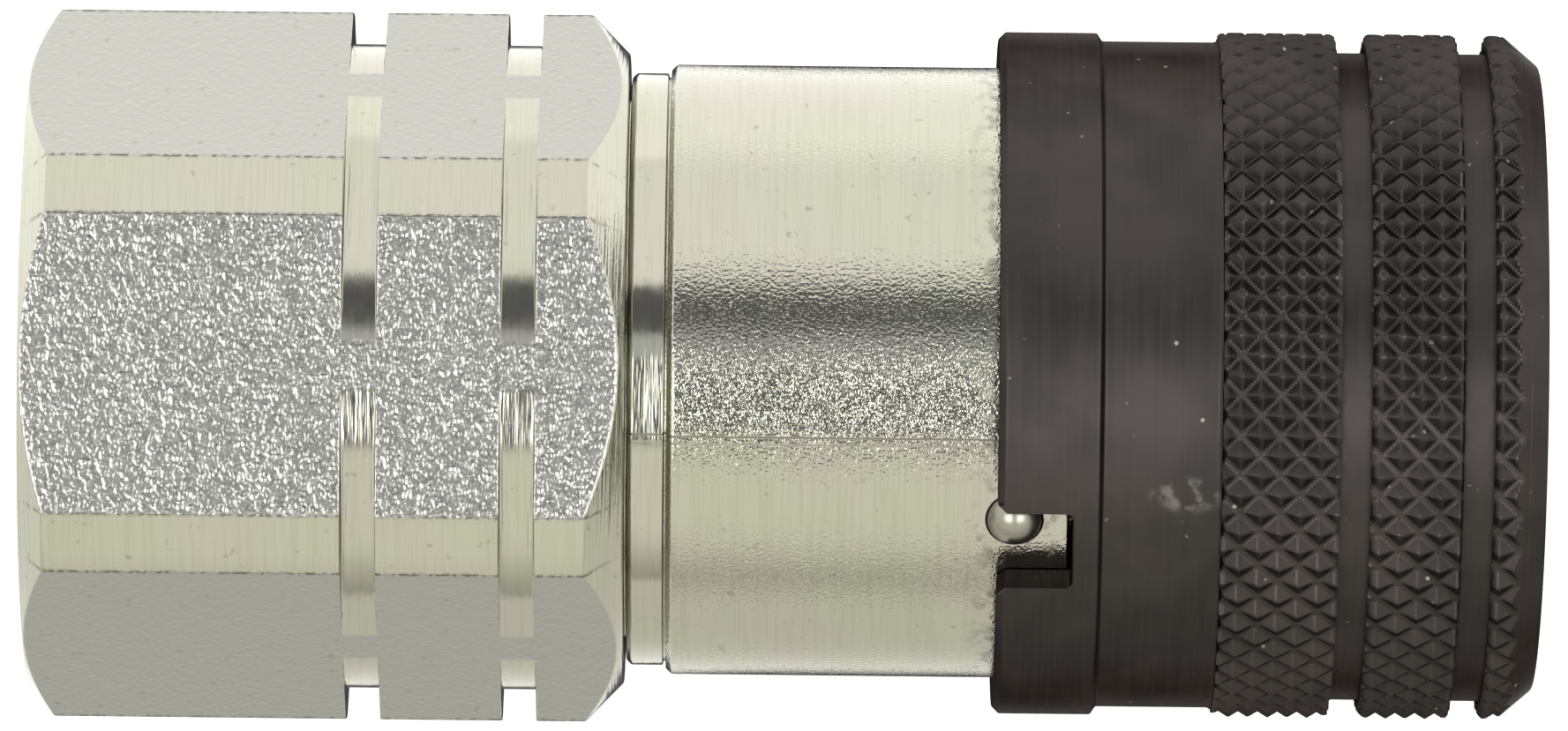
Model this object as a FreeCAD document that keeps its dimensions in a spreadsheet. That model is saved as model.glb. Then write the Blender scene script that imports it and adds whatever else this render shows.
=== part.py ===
"""Flush-face hydraulic quick disconnect coupler, socket half, nominal size 19.

The coupler lies along X. The origin is the centre of the flat face that meets the plug, +X points
out of that face, and +Z is the normal of one wrench flat. Lengths along X are counted from the
port's face at the rear, and every piece is then moved back by face_at. A turned piece is half of
its section, drawn with X along the coupler and Y as its radius, and revolved.
It rests uncoupled: the shuttle holds the locking balls out, and the balls hold the sleeve back.
"""
import FreeCAD, Part
import Sketcher
import os
import re

from FreeCAD import Placement, Rotation, Vector

# The sizes that can be set by themselves, in millimetres and degrees.
SIZES = {
    # rear adapter: hex bar with a straight-thread O-ring port and a spigot
    "hex_flats": 45.0,
    "hex_turned_diameter": 49.5,
    "hex_rear_face_diameter": 44.6,
    "hex_rear_chamfer_angle": 36.0,
    "hex_front_face_diameter": 44.0,
    "hex_front_chamfer_angle": 44.0,
    "hex_length": 41.6,
    "hex_groove_width": 2.4,
    "hex_groove_height": 0.04,
    "rear_groove_at": 22.2,
    "front_groove_at": 33.1,
    "port_minor_diameter": 24.9,
    "port_mouth_step": 2.2,
    "port_cone_angle": 15.0,
    "port_cone_depth": 3.3,
    "port_depth": 22.0,
    "passage_diameter": 23.0,
    "cavity_diameter": 29.8,
    "cavity_setback": 15.6,
    "spigot_wall": 1.1,
    "spigot_thread_step": 1.0,
    "spigot_thread_length": 8.0,
    "spigot_length": 12.6,
    "spigot_chamfer": 0.6,
    # front body
    "seat_gap": 0.15,
    "neck_undercut": 0.625,
    "neck_length": 2.75,
    "neck_chamfer": 0.35,
    "socket_bore_diameter": 30.1,
    "body_front_wall": 3.75,
    "body_shoulder_height": 2.55,
    "body_chamfer": 0.4,
    "socket_lead": 0.7,
    "partition_thickness": 5.0,
    "face_recess": 0.8,
    "front_lip": 0.85,
    # locking sleeve
    "sleeve_length": 37.7,
    "sleeve_overhang": 0.6,
    "collar_wall": 2.42,
    "collar_width": 7.25,
    "collar_chamfer": 0.5,
    "waist_wall": 1.85,
    "grip_wall": 2.55,
    "grip_groove_depth": 1.35,
    "grip_groove_width": 2.1,
    "first_grip_width": 8.1,
    "second_grip_width": 6.35,
    "third_grip_width": 1.2,
    "nose_run": 2.5,
    "nose_drop": 2.15,
    "sleeve_mouth_gap": 0.7,
    "sleeve_flange_width": 1.2,
    "sleeve_land_width": 5.2,
    "pull_back_room": 1.8,
    "sleeve_advance": 4.0,
    "notch_width": 6.0,
    "notch_depth": 5.2,
    "notch_flare": 0.6,
    "notch_angle": 31.1,
    "washer_thickness": 0.8,
    # balls
    "ball_diameter": 5.0,
    "ball_count": 12,
    "ball_slack": 0.5,
    "ball_clearance": 0.04,
    "flange_clearance": 0.3,
    "ball_drop": 1.6,
    "ball_rim_reach": 0.1,
    "ball_seat_depth": 0.85,
    "lock_ball_diameter": 4.0,
    "lock_ball_inset": 1.2,
    "lock_ball_offset": 1.05,
    "lock_ball_sink": 0.6,
    "lock_hole_floor": 0.1,
    # shuttle and valve
    "stroke": 19.0,
    "shuttle_head_length": 11.6,
    "shuttle_skirt_length": 10.4,
    "shuttle_skirt_wall": 1.1,
    "valve_outer_diameter": 24.0,
    "valve_head_step": 0.6,
    "valve_head_length": 4.0,
    "valve_seat_wall": 2.95,
    "valve_seat_length": 8.1,
    "valve_wall": 2.2,
    "valve_tail_step": 1.0,
    "valve_tail_length": 9.2,
    "stop_gap": 0.1,
    "collar_ring_thickness": 1.8,
    "collar_ring_gap": 0.2,
    # stem
    "stem_head_length": 7.1,
    "stem_cone_length": 5.5,
    "stem_shaft_diameter": 8.4,
    "stem_stud_diameter": 6.0,
    "spider_thickness": 3.0,
    "spider_hole_diameter": 5.2,
    "spider_hole_radius": 8.6,
    "spider_hole_count": 6,
    "nut_flats": 10.0,
    "nut_thickness": 3.3,
    # seals
    "seal_section": 2.24,
    "seal_gland_depth": 2.25,
    "seal_gland_width": 3.6,
    "seal_gland_inset": 0.4,
    "guide_seal_section": 2.4,
    "guide_gland_depth": 2.44,
    "guide_gland_width": 3.2,
    "guide_backup_width": 0.65,
    "nose_backup_width": 1.0,
    "spigot_seal_section": 1.9,
    "spigot_gland_depth": 1.9,
    "spigot_gland_width": 2.4,
    "stem_seal_section": 1.6,
    "stem_gland_depth": 1.6,
    "stem_gland_width": 2.4,
    "stem_gland_setback": 2.6,
    # springs and the snap ring
    "sleeve_spring_wire": 1.8,
    "sleeve_spring_turns": 4.0,
    "sleeve_spring_slack": 1.0,
    "shuttle_spring_wire": 1.4,
    "shuttle_spring_turns": 6.5,
    "valve_spring_wire": 1.5,
    "valve_spring_turns": 4.5,
    "snap_ring_wire": 1.2,
    "snap_ring_bite": 0.7,
    "snap_ring_overlap": 0.36,
    "snap_ring_gap": 14.0,
    # clearances
    "sliding_gap": 0.05,
    "loose_gap": 0.1,
    "seal_gap": 0.01,
}

# Places and radii that follow from the sizes above.
PLACES = {
    "hex_radius": "hex_turned_diameter / 2",
    "hex_rear_face_radius": "hex_rear_face_diameter / 2",
    "hex_rear_chamfer_run": "(hex_radius - hex_rear_face_radius) * tan(hex_rear_chamfer_angle * 1deg)",
    "hex_front_face_radius": "hex_front_face_diameter / 2",
    "hex_front_chamfer_run": "(hex_radius - hex_front_face_radius) * tan(hex_front_chamfer_angle * 1deg)",
    "groove_radius": "hex_flats / 2 + hex_groove_height",
    "port_radius": "port_minor_diameter / 2",
    "port_mouth_radius": "port_radius + port_mouth_step",
    "port_cone_foot_radius": "port_mouth_radius - port_cone_depth * tan(port_cone_angle * 1deg)",
    "thread_start": "port_cone_depth + port_cone_foot_radius - port_radius",
    "passage_radius": "passage_diameter / 2",
    "cavity_at": "hex_length - cavity_setback",
    "cavity_radius": "cavity_diameter / 2",
    "spigot_gland_radius": "cavity_radius + spigot_wall",
    "spigot_pilot_radius": "spigot_gland_radius + spigot_gland_depth",
    "spigot_thread_radius": "spigot_pilot_radius + spigot_thread_step",
    "spigot_thread_end": "hex_length + spigot_thread_length",
    "spigot_end": "hex_length + spigot_length",
    "spigot_gland_front": "spigot_end - spigot_chamfer - 0.4",
    "spigot_gland_rear": "spigot_gland_front - spigot_gland_width",
    "body_rear": "hex_length + seat_gap",
    "neck_radius": "body_radius - neck_undercut",
    "neck_end": "body_rear + neck_length",
    "bore_radius": "socket_bore_diameter / 2",
    "body_front_radius": "bore_radius + body_front_wall",
    "body_radius": "body_front_radius + body_shoulder_height",
    "valve_radius": "valve_outer_diameter / 2",
    "valve_guide_radius": "valve_radius + sliding_gap",
    "spider_front": "cavity_at + spider_thickness",
    "valve_spring_solid": "valve_spring_wire * (valve_spring_turns + 0.5)",
    "collar_ring_rear": "spider_front + valve_spring_solid + stop_gap + stroke",
    "collar_ring_front": "collar_ring_rear + collar_ring_thickness",
    "partition_rear": "collar_ring_front + stop_gap",
    "partition_front": "partition_rear + partition_thickness",
    "guide_gland_rear": "partition_rear + (partition_thickness - guide_gland_width) / 2",
    "guide_gland_front": "guide_gland_rear + guide_gland_width",
    "guide_gland_radius": "valve_guide_radius + guide_gland_depth",
    "shuttle_rear": "partition_front + stop_gap + stroke",
    "shuttle_head_rear": "shuttle_rear + shuttle_skirt_length",
    "face_at": "shuttle_head_rear + shuttle_head_length",
    "body_front": "face_at + face_recess",
    "sleeve_front": "body_front + sleeve_overhang",
    "sleeve_rear_at": "sleeve_front - sleeve_length",
    "ball_radius": "ball_diameter / 2",
    "shuttle_radius": "bore_radius - sliding_gap",
    "ball_out": "shuttle_radius + ball_slack + ball_radius",
    "ball_in": "ball_out - ball_drop",
    "ramp_slope": "ball_drop / sleeve_advance",
    "land_radius": "ball_in + ball_radius + ball_clearance",
    "roof_radius": "ball_out + ball_radius + ball_clearance",
    "ramp_rise": "(ball_radius + ball_clearance) * sqrt(1 + ramp_slope * ramp_slope)",
    "ring_front": "body_front - front_lip",
    "ring_rear": "ring_front - snap_ring_wire",
    "flange_front": "ring_rear - sliding_gap - sleeve_advance",
    "flange_rear": "flange_front - sleeve_flange_width",
    "ball_at": "flange_rear - flange_clearance - pull_back_room - ball_chord",
    "ramp_foot": "ball_at + (land_radius - ball_out - ramp_rise) / ramp_slope",
    "ramp_top": "ball_at + (roof_radius - ball_out - ramp_rise) / ramp_slope",
    "ball_chord": "sqrt(ball_radius * ball_radius - (land_radius - ball_out) * (land_radius - ball_out))",
    "ring_groove_radius": "body_front_radius - snap_ring_bite",
    "ring_outer_radius": "land_radius + snap_ring_overlap",
    "sleeve_bore_radius": "body_radius + loose_gap",
    "spring_room_end": "ramp_foot - sleeve_land_width",
    "washer_rear": "spring_room_end - washer_thickness",
    "sleeve_spring_room": "sleeve_spring_wire * (sleeve_spring_turns + 1) + sleeve_spring_slack",
    "body_shoulder_at": "washer_rear - sleeve_spring_room",
    "lock_ball_at": "sleeve_rear_at + lock_ball_inset",
    "collar_radius": "sleeve_bore_radius + collar_wall",
    "waist_radius": "sleeve_bore_radius + waist_wall",
    "grip_radius": "sleeve_bore_radius + grip_wall",
    "grip_groove_radius": "grip_radius - grip_groove_depth",
    "nose_radius": "grip_radius - nose_drop",
    "mouth_radius": "ring_outer_radius + sleeve_mouth_gap",
    "collar_end": "sleeve_rear_at + collar_width",
    "third_grip_end": "sleeve_front - nose_run",
    "third_grip_start": "third_grip_end - third_grip_width",
    "second_grip_end": "third_grip_start - grip_groove_width",
    "second_grip_start": "second_grip_end - second_grip_width",
    "first_grip_end": "second_grip_start - grip_groove_width",
    "first_grip_start": "first_grip_end - first_grip_width",
    "seal_gland_rear": "shuttle_rear + seal_gland_inset",
    "seal_gland_front": "seal_gland_rear + seal_gland_width",
    "seal_gland_radius": "bore_radius + seal_gland_depth",
    "ball_hole_radius": "ball_radius + sliding_gap",
    "ball_rim_radius": "sqrt(ball_radius * ball_radius - (ball_in - bore_radius) * (ball_in - bore_radius))"
    " + ball_rim_reach",
    "ball_seat_top": "bore_radius + ball_seat_depth",
    "lock_ball_radius": "lock_ball_diameter / 2",
    "lock_ball_centre": "body_radius - lock_ball_sink",
    "lock_ball_angle": "notch_angle * 1deg - asin(lock_ball_offset / lock_ball_centre)",
    "lock_hole_radius": "lock_ball_radius + 0.02",
    "lock_hole_bottom": "lock_ball_centre - lock_ball_radius - lock_hole_floor",
    "shuttle_bore_radius": "valve_radius + loose_gap",
    "shuttle_counterbore_radius": "valve_head_radius + loose_gap",
    "shuttle_step": "valve_head_rear - sliding_gap",
    "shuttle_skirt_radius": "shuttle_radius - shuttle_skirt_wall",
    "drop_slope": "ball_drop / stroke",
    "shuttle_nose_radius": "ball_out - (face_at - ball_at) * drop_slope"
    " - (ball_radius + ball_clearance) * sqrt(1 + drop_slope * drop_slope)",
    "shuttle_taper_length": "(shuttle_radius - shuttle_nose_radius) / drop_slope",
    "valve_head_radius": "valve_radius + valve_head_step",
    "valve_head_rear": "face_at - valve_head_length",
    "valve_bore_radius": "valve_radius - valve_seat_wall",
    "valve_flow_radius": "valve_radius - valve_wall",
    "valve_seat_rear": "face_at - valve_seat_length",
    "valve_tail_radius": "valve_radius - valve_tail_step",
    "valve_tail_end": "collar_ring_front - valve_tail_length",
    "collar_ring_radius": "cavity_radius - collar_ring_gap",
    "stem_head_radius": "valve_bore_radius - sliding_gap",
    "stem_shaft_radius": "stem_shaft_diameter / 2",
    "stem_stud_radius": "stem_stud_diameter / 2",
    "stem_head_rear": "face_at - stem_head_length",
    "stem_cone_rear": "stem_head_rear - stem_cone_length",
    "nut_rear": "cavity_at - nut_thickness",
    "stem_gland_front": "face_at - stem_gland_setback",
    "stem_gland_rear": "stem_gland_front - stem_gland_width",
    "stem_gland_radius": "stem_head_radius - stem_gland_depth",
}

doc = FreeCAD.newDocument("flush_face_coupler")
sheet = doc.addObject("Spreadsheet::Sheet", "Sizes")
for row, (alias, size) in enumerate(SIZES.items(), start=1):
    sheet.set(f"A{row}", str(size))
    sheet.setAlias(f"A{row}", alias)
doc.recompute()


def formula(text):
    """Writes a line of size and place names as an expression on the Sizes sheet."""

    def swap(match):
        word = match.group(0)
        if word in SIZES:
            return f"Sizes.{word}"
        if word in PLACES:
            return f"({formula(PLACES[word])})"
        return word

    return re.sub(r"(?<![\w.])[A-Za-z_]\w*", swap, text)


def value(text):
    """The number that a line of size and place names comes to now."""
    found = sheet.evalExpression(formula(text))
    return float(getattr(found, "Value", found))


def origin_part(body, role):
    """The origin plane or axis of a body, such as XY_Plane or X_Axis."""
    return next(part for part in body.Origin.OriginFeatures if part.Role == role)


def outline(body, name, points, turned_by=None):
    """A closed sketch of straight lines on the body's XY plane, each corner bound to the sheet.

    turned_by names the angle that turns the sketch's plane about X.
    """
    sketch = body.newObject("Sketcher::SketchObject", name)
    sketch.AttachmentSupport = (origin_part(body, "XY_Plane"), [""])
    sketch.MapMode = "FlatFace"
    if turned_by:
        angle = value(turned_by)
        sketch.AttachmentOffset = Placement(Vector(), Rotation(Vector(1, 0, 0), angle))
        sketch.setExpression("AttachmentOffset.Rotation.Angle", formula(turned_by))
    corners = [Vector(value(x), value(r), 0) for x, r in points]
    after = corners[1:] + corners[:1]
    sketch.addGeometry([Part.LineSegment(a, b) for a, b in zip(corners, after)], False)
    count = len(points)
    for i in range(count):
        sketch.addConstraint(Sketcher.Constraint("Coincident", i, 2, (i + 1) % count, 1))
    for i, (x, r) in enumerate(points):
        for kind, text, other_axis in (("DistanceX", x, -2), ("DistanceY", r, -1)):
            if text == "0":
                sketch.addConstraint(Sketcher.Constraint("PointOnObject", i, 1, other_axis))
                continue
            below = text.startswith("-")
            size = value(text.lstrip("-"))
            ends = (i, 1, -1, 1) if below else (-1, 1, i, 1)
            index = sketch.addConstraint(Sketcher.Constraint(kind, *ends, size))
            label = f"{'x' if kind == 'DistanceX' else 'r'}{i}"
            sketch.renameConstraint(index, label)
            sketch.setExpression(f"Constraints.{label}", formula(text.lstrip("-")))
    return sketch


def new_body(name):
    """An empty PartDesign body whose label is the piece's name."""
    body = doc.addObject("PartDesign::Body", name)
    body.Label = name
    return body


def turned(name, points, sweep="360"):
    """A piece turned about X from half of its section."""
    body = new_body(name)
    sketch = outline(body, f"{name}_section", points)
    turn = body.newObject("PartDesign::Revolution", f"{name}_turning")
    turn.Profile = sketch
    turn.ReferenceAxis = (sketch, ["H_Axis"])
    turn.Angle = value(sweep)
    turn.setExpression("Angle", formula(sweep))
    return body


def radial_hole(body, name, points, along, turned_by=None):
    """A hole turned about a radial line: points are half of its section, along is its X place."""
    sketch = outline(body, f"{name}_section", points, turned_by)
    foot, top = Vector(value(along), 0, 0), Vector(value(along), 1, 0)
    line = sketch.addGeometry(Part.LineSegment(foot, top), True)
    sketch.addConstraint(Sketcher.Constraint("Vertical", line))
    sketch.addConstraint(Sketcher.Constraint("PointOnObject", line, 1, -1))
    sketch.addConstraint(Sketcher.Constraint("DistanceY", line, 1, line, 2, 1.0))
    index = sketch.addConstraint(Sketcher.Constraint("DistanceX", -1, 1, line, 1, foot.x))
    sketch.renameConstraint(index, "axis")
    sketch.setExpression("Constraints.axis", formula(along))
    hole = body.newObject("PartDesign::Groove", name)
    hole.Profile = sketch
    hole.ReferenceAxis = (sketch, ["Axis0"])
    hole.Angle = 360
    return hole


def around_axis(body, feature, name, count):
    """Repeats a feature all the way round X."""
    pattern = body.newObject("PartDesign::PolarPattern", name)
    pattern.Originals = [feature]
    pattern.Axis = (origin_part(body, "X_Axis"), [""])
    pattern.Angle = 360
    pattern.Occurrences = int(value(count))
    pattern.setExpression("Occurrences", formula(count))
    body.Tip = pattern
    return pattern


def must_cut(body, before, what):
    """Stops the build if a cut left the body's volume as it was."""
    doc.recompute()
    if body.Shape.Volume > before - 0.1:
        raise RuntimeError(f"{what} cut nothing")


def bind(item, **texts):
    """Sets properties of an object from the sheet."""
    for name, text in texts.items():
        setattr(item, name, value(text))
        item.setExpression(name, formula(text))


def put(item, **places):
    """Sets the x, y or z place of an object from the sheet."""
    for letter, text in places.items():
        item.setExpression(f"Placement.Base.{letter}", formula(text))


def ring_seal(name, along, mean_radius, section):
    """An O-ring about X. along is the middle of its section."""
    seal = doc.addObject("Part::Torus", name)
    seal.Label = name
    bind(seal, Radius1=mean_radius, Radius2=f"({section}) / 2 - seal_gap")
    seal.Placement = Placement(Vector(), Rotation(Vector(0, 1, 0), 90))
    put(seal, x=f"{along} - face_at")
    return seal


def flat_ring(name, rear, front, inner, outer):
    """A plain ring of rectangular section about X."""
    return turned(name, [(rear, inner), (front, inner), (front, outer), (rear, outer)])


def coil_spring(name, rear, front, mean_radius, wire, turns):
    """A round-wire compression spring about X between two faces."""
    body = new_body(name)
    sketch = body.newObject("Sketcher::SketchObject", f"{name}_wire")
    sketch.AttachmentSupport = (origin_part(body, "XY_Plane"), [""])
    sketch.MapMode = "FlatFace"
    first = f"{rear} + {wire} / 2 + sliding_gap"
    centre = Vector(value(first), value(mean_radius), 0)
    sketch.addGeometry(Part.Circle(centre, Vector(0, 0, 1), value(f"{wire} / 2")), False)
    places = (("DistanceX", "along", first), ("DistanceY", "radius", mean_radius))
    for kind, label, text in places:
        index = sketch.addConstraint(Sketcher.Constraint(kind, -1, 1, 0, 3, value(text)))
        sketch.renameConstraint(index, label)
        sketch.setExpression(f"Constraints.{label}", formula(text))
    index = sketch.addConstraint(Sketcher.Constraint("Radius", 0, value(f"{wire} / 2")))
    sketch.renameConstraint(index, "wire")
    sketch.setExpression("Constraints.wire", formula(f"{wire} / 2"))
    coil = body.newObject("PartDesign::AdditiveHelix", f"{name}_coil")
    coil.Profile = sketch
    coil.ReferenceAxis = (sketch, ["H_Axis"])
    coil.Mode = "pitch-height-angle"
    height = f"({front}) - ({rear}) - {wire} - 2 * sliding_gap"
    bind(coil, Height=height, Pitch=f"({height}) / {turns}")
    return body


def rear_adapter():
    """Hex bar, turned: O-ring port behind, flow cavity and threaded spigot in front."""
    blank = turned(
        "adapter_blank",
        [
            ("0", "port_mouth_radius"),
            ("0", "hex_rear_face_radius"),
            ("hex_rear_chamfer_run", "hex_radius"),
            ("rear_groove_at", "hex_radius"),
            ("rear_groove_at", "groove_radius"),
            ("rear_groove_at + hex_groove_width", "groove_radius"),
            ("rear_groove_at + hex_groove_width", "hex_radius"),
            ("front_groove_at", "hex_radius"),
            ("front_groove_at", "groove_radius"),
            ("front_groove_at + hex_groove_width", "groove_radius"),
            ("front_groove_at + hex_groove_width", "hex_radius"),
            ("hex_length - hex_front_chamfer_run", "hex_radius"),
            ("hex_length", "hex_front_face_radius"),
            ("hex_length", "spigot_thread_radius"),
            ("spigot_thread_end - spigot_chamfer", "spigot_thread_radius"),
            ("spigot_thread_end", "spigot_pilot_radius"),
            ("spigot_gland_rear", "spigot_pilot_radius"),
            ("spigot_gland_rear", "spigot_gland_radius"),
            ("spigot_gland_front", "spigot_gland_radius"),
            ("spigot_gland_front", "spigot_pilot_radius"),
            ("spigot_end - spigot_chamfer", "spigot_pilot_radius"),
            ("spigot_end", "spigot_pilot_radius - spigot_chamfer"),
            ("spigot_end", "cavity_radius"),
            ("cavity_at", "cavity_radius"),
            ("cavity_at", "passage_radius"),
            ("port_depth", "passage_radius"),
            ("port_depth", "port_radius"),
            ("thread_start", "port_radius"),
            ("port_cone_depth", "port_cone_foot_radius"),
        ],
    )
    bar = doc.addObject("Part::Prism", "hex_bar")
    bar.Polygon = 6
    bind(bar, Circumradius="hex_flats / sqrt(3)", Height="spigot_end")
    lay_along_x = Rotation(Vector(0, 1, 0), 90) * Rotation(Vector(0, 0, 1), 30)
    bar.Placement = Placement(Vector(), lay_along_x)
    adapter = doc.addObject("Part::Common", "rear_adapter")
    adapter.Base, adapter.Tool = blank, bar
    adapter.Label = "rear_adapter"
    return adapter


def front_body():
    """The plated body: neck, bearing for the sleeve, ball race, seal glands and valve guide."""
    body = turned(
        "front_body",
        [
            ("body_rear", "spigot_thread_radius + sliding_gap"),
            ("body_rear", "neck_radius - neck_chamfer"),
            ("body_rear + neck_chamfer", "neck_radius"),
            ("neck_end - neck_chamfer", "neck_radius"),
            ("neck_end - neck_chamfer / 2", "neck_radius - neck_chamfer"),
            ("neck_end", "neck_radius"),
            ("neck_end + body_chamfer", "body_radius"),
            ("body_shoulder_at - body_chamfer", "body_radius"),
            ("body_shoulder_at", "body_radius - body_chamfer"),
            ("body_shoulder_at", "body_front_radius"),
            ("ring_rear", "body_front_radius"),
            ("ring_rear", "ring_groove_radius"),
            ("ring_front", "ring_groove_radius"),
            ("ring_front", "body_front_radius"),
            ("body_front - body_chamfer", "body_front_radius"),
            ("body_front", "body_front_radius - body_chamfer"),
            ("body_front", "bore_radius + socket_lead"),
            ("body_front - socket_lead", "bore_radius"),
            ("seal_gland_front", "bore_radius"),
            ("seal_gland_front", "seal_gland_radius"),
            ("seal_gland_rear", "seal_gland_radius"),
            ("seal_gland_rear", "bore_radius"),
            ("partition_front", "bore_radius"),
            ("partition_front", "valve_guide_radius"),
            ("guide_gland_front", "valve_guide_radius"),
            ("guide_gland_front", "guide_gland_radius"),
            ("guide_gland_rear", "guide_gland_radius"),
            ("guide_gland_rear", "valve_guide_radius"),
            ("partition_rear", "valve_guide_radius"),
            ("partition_rear", "cavity_radius"),
            ("spigot_end", "cavity_radius"),
            ("spigot_end", "spigot_pilot_radius + sliding_gap"),
            ("spigot_thread_end", "spigot_pilot_radius + sliding_gap"),
            ("spigot_thread_end", "spigot_thread_radius + sliding_gap"),
        ],
    )
    doc.recompute()
    plain = body.Shape.Volume
    hole = radial_hole(
        body,
        "ball_hole",
        [
            ("ball_at", "bore_radius - 1"),
            ("ball_at + ball_rim_radius", "bore_radius - 1"),
            ("ball_at + ball_rim_radius", "bore_radius"),
            ("ball_at + ball_hole_radius", "ball_seat_top"),
            ("ball_at + ball_hole_radius", "body_front_radius + 1"),
            ("ball_at", "body_front_radius + 1"),
        ],
        "ball_at",
    )
    must_cut(body, plain, "ball hole")
    around_axis(body, hole, "ball_holes", "ball_count")
    doc.recompute()
    ringed = body.Shape.Volume
    radial_hole(
        body,
        "lock_ball_hole",
        [
            ("lock_ball_at", "lock_hole_bottom"),
            ("lock_ball_at + lock_hole_radius", "lock_hole_bottom"),
            ("lock_ball_at + lock_hole_radius", "body_radius + 1"),
            ("lock_ball_at", "body_radius + 1"),
        ],
        "lock_ball_at",
        "90deg + lock_ball_angle",
    )
    must_cut(body, ringed, "lock ball hole")
    return body


def locking_sleeve():
    """The black sleeve: collar with the lock notch, waist, three grip bands and the ball ramp inside."""
    body = turned(
        "locking_sleeve",
        [
            ("sleeve_rear_at", "sleeve_bore_radius + collar_chamfer / 2"),
            ("sleeve_rear_at", "collar_radius - collar_chamfer"),
            ("sleeve_rear_at + collar_chamfer", "collar_radius"),
            ("collar_end - collar_chamfer * 0.7", "collar_radius"),
            ("collar_end", "waist_radius"),
            ("first_grip_start - 0.2", "waist_radius"),
            ("first_grip_start", "grip_radius"),
            ("first_grip_end", "grip_radius"),
            ("first_grip_end", "grip_groove_radius"),
            ("second_grip_start", "grip_groove_radius"),
            ("second_grip_start", "grip_radius"),
            ("second_grip_end", "grip_radius"),
            ("second_grip_end", "grip_groove_radius"),
            ("third_grip_start", "grip_groove_radius"),
            ("third_grip_start", "grip_radius"),
            ("third_grip_end", "grip_radius"),
            ("sleeve_front", "nose_radius"),
            ("sleeve_front", "mouth_radius + collar_chamfer"),
            ("sleeve_front - collar_chamfer", "mouth_radius"),
            ("flange_front", "mouth_radius"),
            ("flange_front", "land_radius"),
            ("flange_rear", "land_radius"),
            ("flange_rear", "roof_radius"),
            ("ramp_top", "roof_radius"),
            ("ramp_foot", "land_radius"),
            ("spring_room_end", "land_radius"),
            ("spring_room_end", "sleeve_bore_radius"),
            ("sleeve_rear_at + collar_chamfer / 2", "sleeve_bore_radius"),
        ],
    )
    doc.recompute()
    plain = body.Shape.Volume
    sketch = outline(
        body,
        "notch_outline",
        [
            ("sleeve_rear_at - 1", "notch_width / 2 + notch_flare"),
            ("sleeve_rear_at", "notch_width / 2 + notch_flare"),
            ("sleeve_rear_at + notch_flare", "notch_width / 2"),
            ("sleeve_rear_at + notch_depth", "notch_width / 2"),
            ("sleeve_rear_at + notch_depth", "-notch_width / 2"),
            ("sleeve_rear_at + notch_flare", "-notch_width / 2"),
            ("sleeve_rear_at", "-(notch_width / 2 + notch_flare)"),
            ("sleeve_rear_at - 1", "-(notch_width / 2 + notch_flare)"),
        ],
        "notch_angle",
    )
    notch = body.newObject("PartDesign::Pocket", "lock_notch")
    notch.Profile = sketch
    notch.Reversed = True
    bind(notch, Length="grip_radius + 1")
    must_cut(body, plain, "lock notch")
    return body


def face_shuttle():
    """The outer ring of the flush face. Its skirt holds the balls out and shelters the nose seal."""
    return turned(
        "face_shuttle",
        [
            ("face_at", "shuttle_counterbore_radius"),
            ("face_at", "shuttle_nose_radius"),
            ("face_at - shuttle_taper_length", "shuttle_radius"),
            ("shuttle_rear + 0.3", "shuttle_radius"),
            ("shuttle_rear", "shuttle_radius - 0.3"),
            ("shuttle_rear", "shuttle_skirt_radius"),
            ("shuttle_head_rear", "shuttle_skirt_radius"),
            ("shuttle_head_rear", "shuttle_bore_radius"),
            ("shuttle_step", "shuttle_bore_radius"),
            ("shuttle_step", "shuttle_counterbore_radius"),
        ],
    )


def valve_sleeve():
    """The sliding tube valve. Its head closes on the stem and draws the shuttle back with it."""
    return turned(
        "valve_sleeve",
        [
            ("face_at", "valve_bore_radius"),
            ("face_at", "valve_head_radius"),
            ("valve_head_rear", "valve_head_radius"),
            ("valve_head_rear", "valve_radius"),
            ("collar_ring_front", "valve_radius"),
            ("collar_ring_front", "valve_tail_radius"),
            ("valve_tail_end", "valve_tail_radius"),
            ("valve_tail_end", "valve_flow_radius"),
            ("valve_seat_rear - 0.75", "valve_flow_radius"),
            ("valve_seat_rear", "valve_bore_radius"),
        ],
    )


def valve_stem():
    """The fixed stem: flat head with a seal groove, slim shaft, and a stud through the spider."""
    return turned(
        "valve_stem",
        [
            ("face_at", "0"),
            ("face_at", "stem_head_radius"),
            ("stem_gland_front", "stem_head_radius"),
            ("stem_gland_front", "stem_gland_radius"),
            ("stem_gland_rear", "stem_gland_radius"),
            ("stem_gland_rear", "stem_head_radius"),
            ("stem_head_rear", "stem_head_radius"),
            ("stem_cone_rear", "stem_shaft_radius"),
            ("spider_front", "stem_shaft_radius"),
            ("spider_front", "stem_stud_radius"),
            ("nut_rear - 0.3", "stem_stud_radius"),
            ("nut_rear - 0.6", "stem_stud_radius - 0.3"),
            ("nut_rear - 0.6", "0"),
        ],
    )


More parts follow.
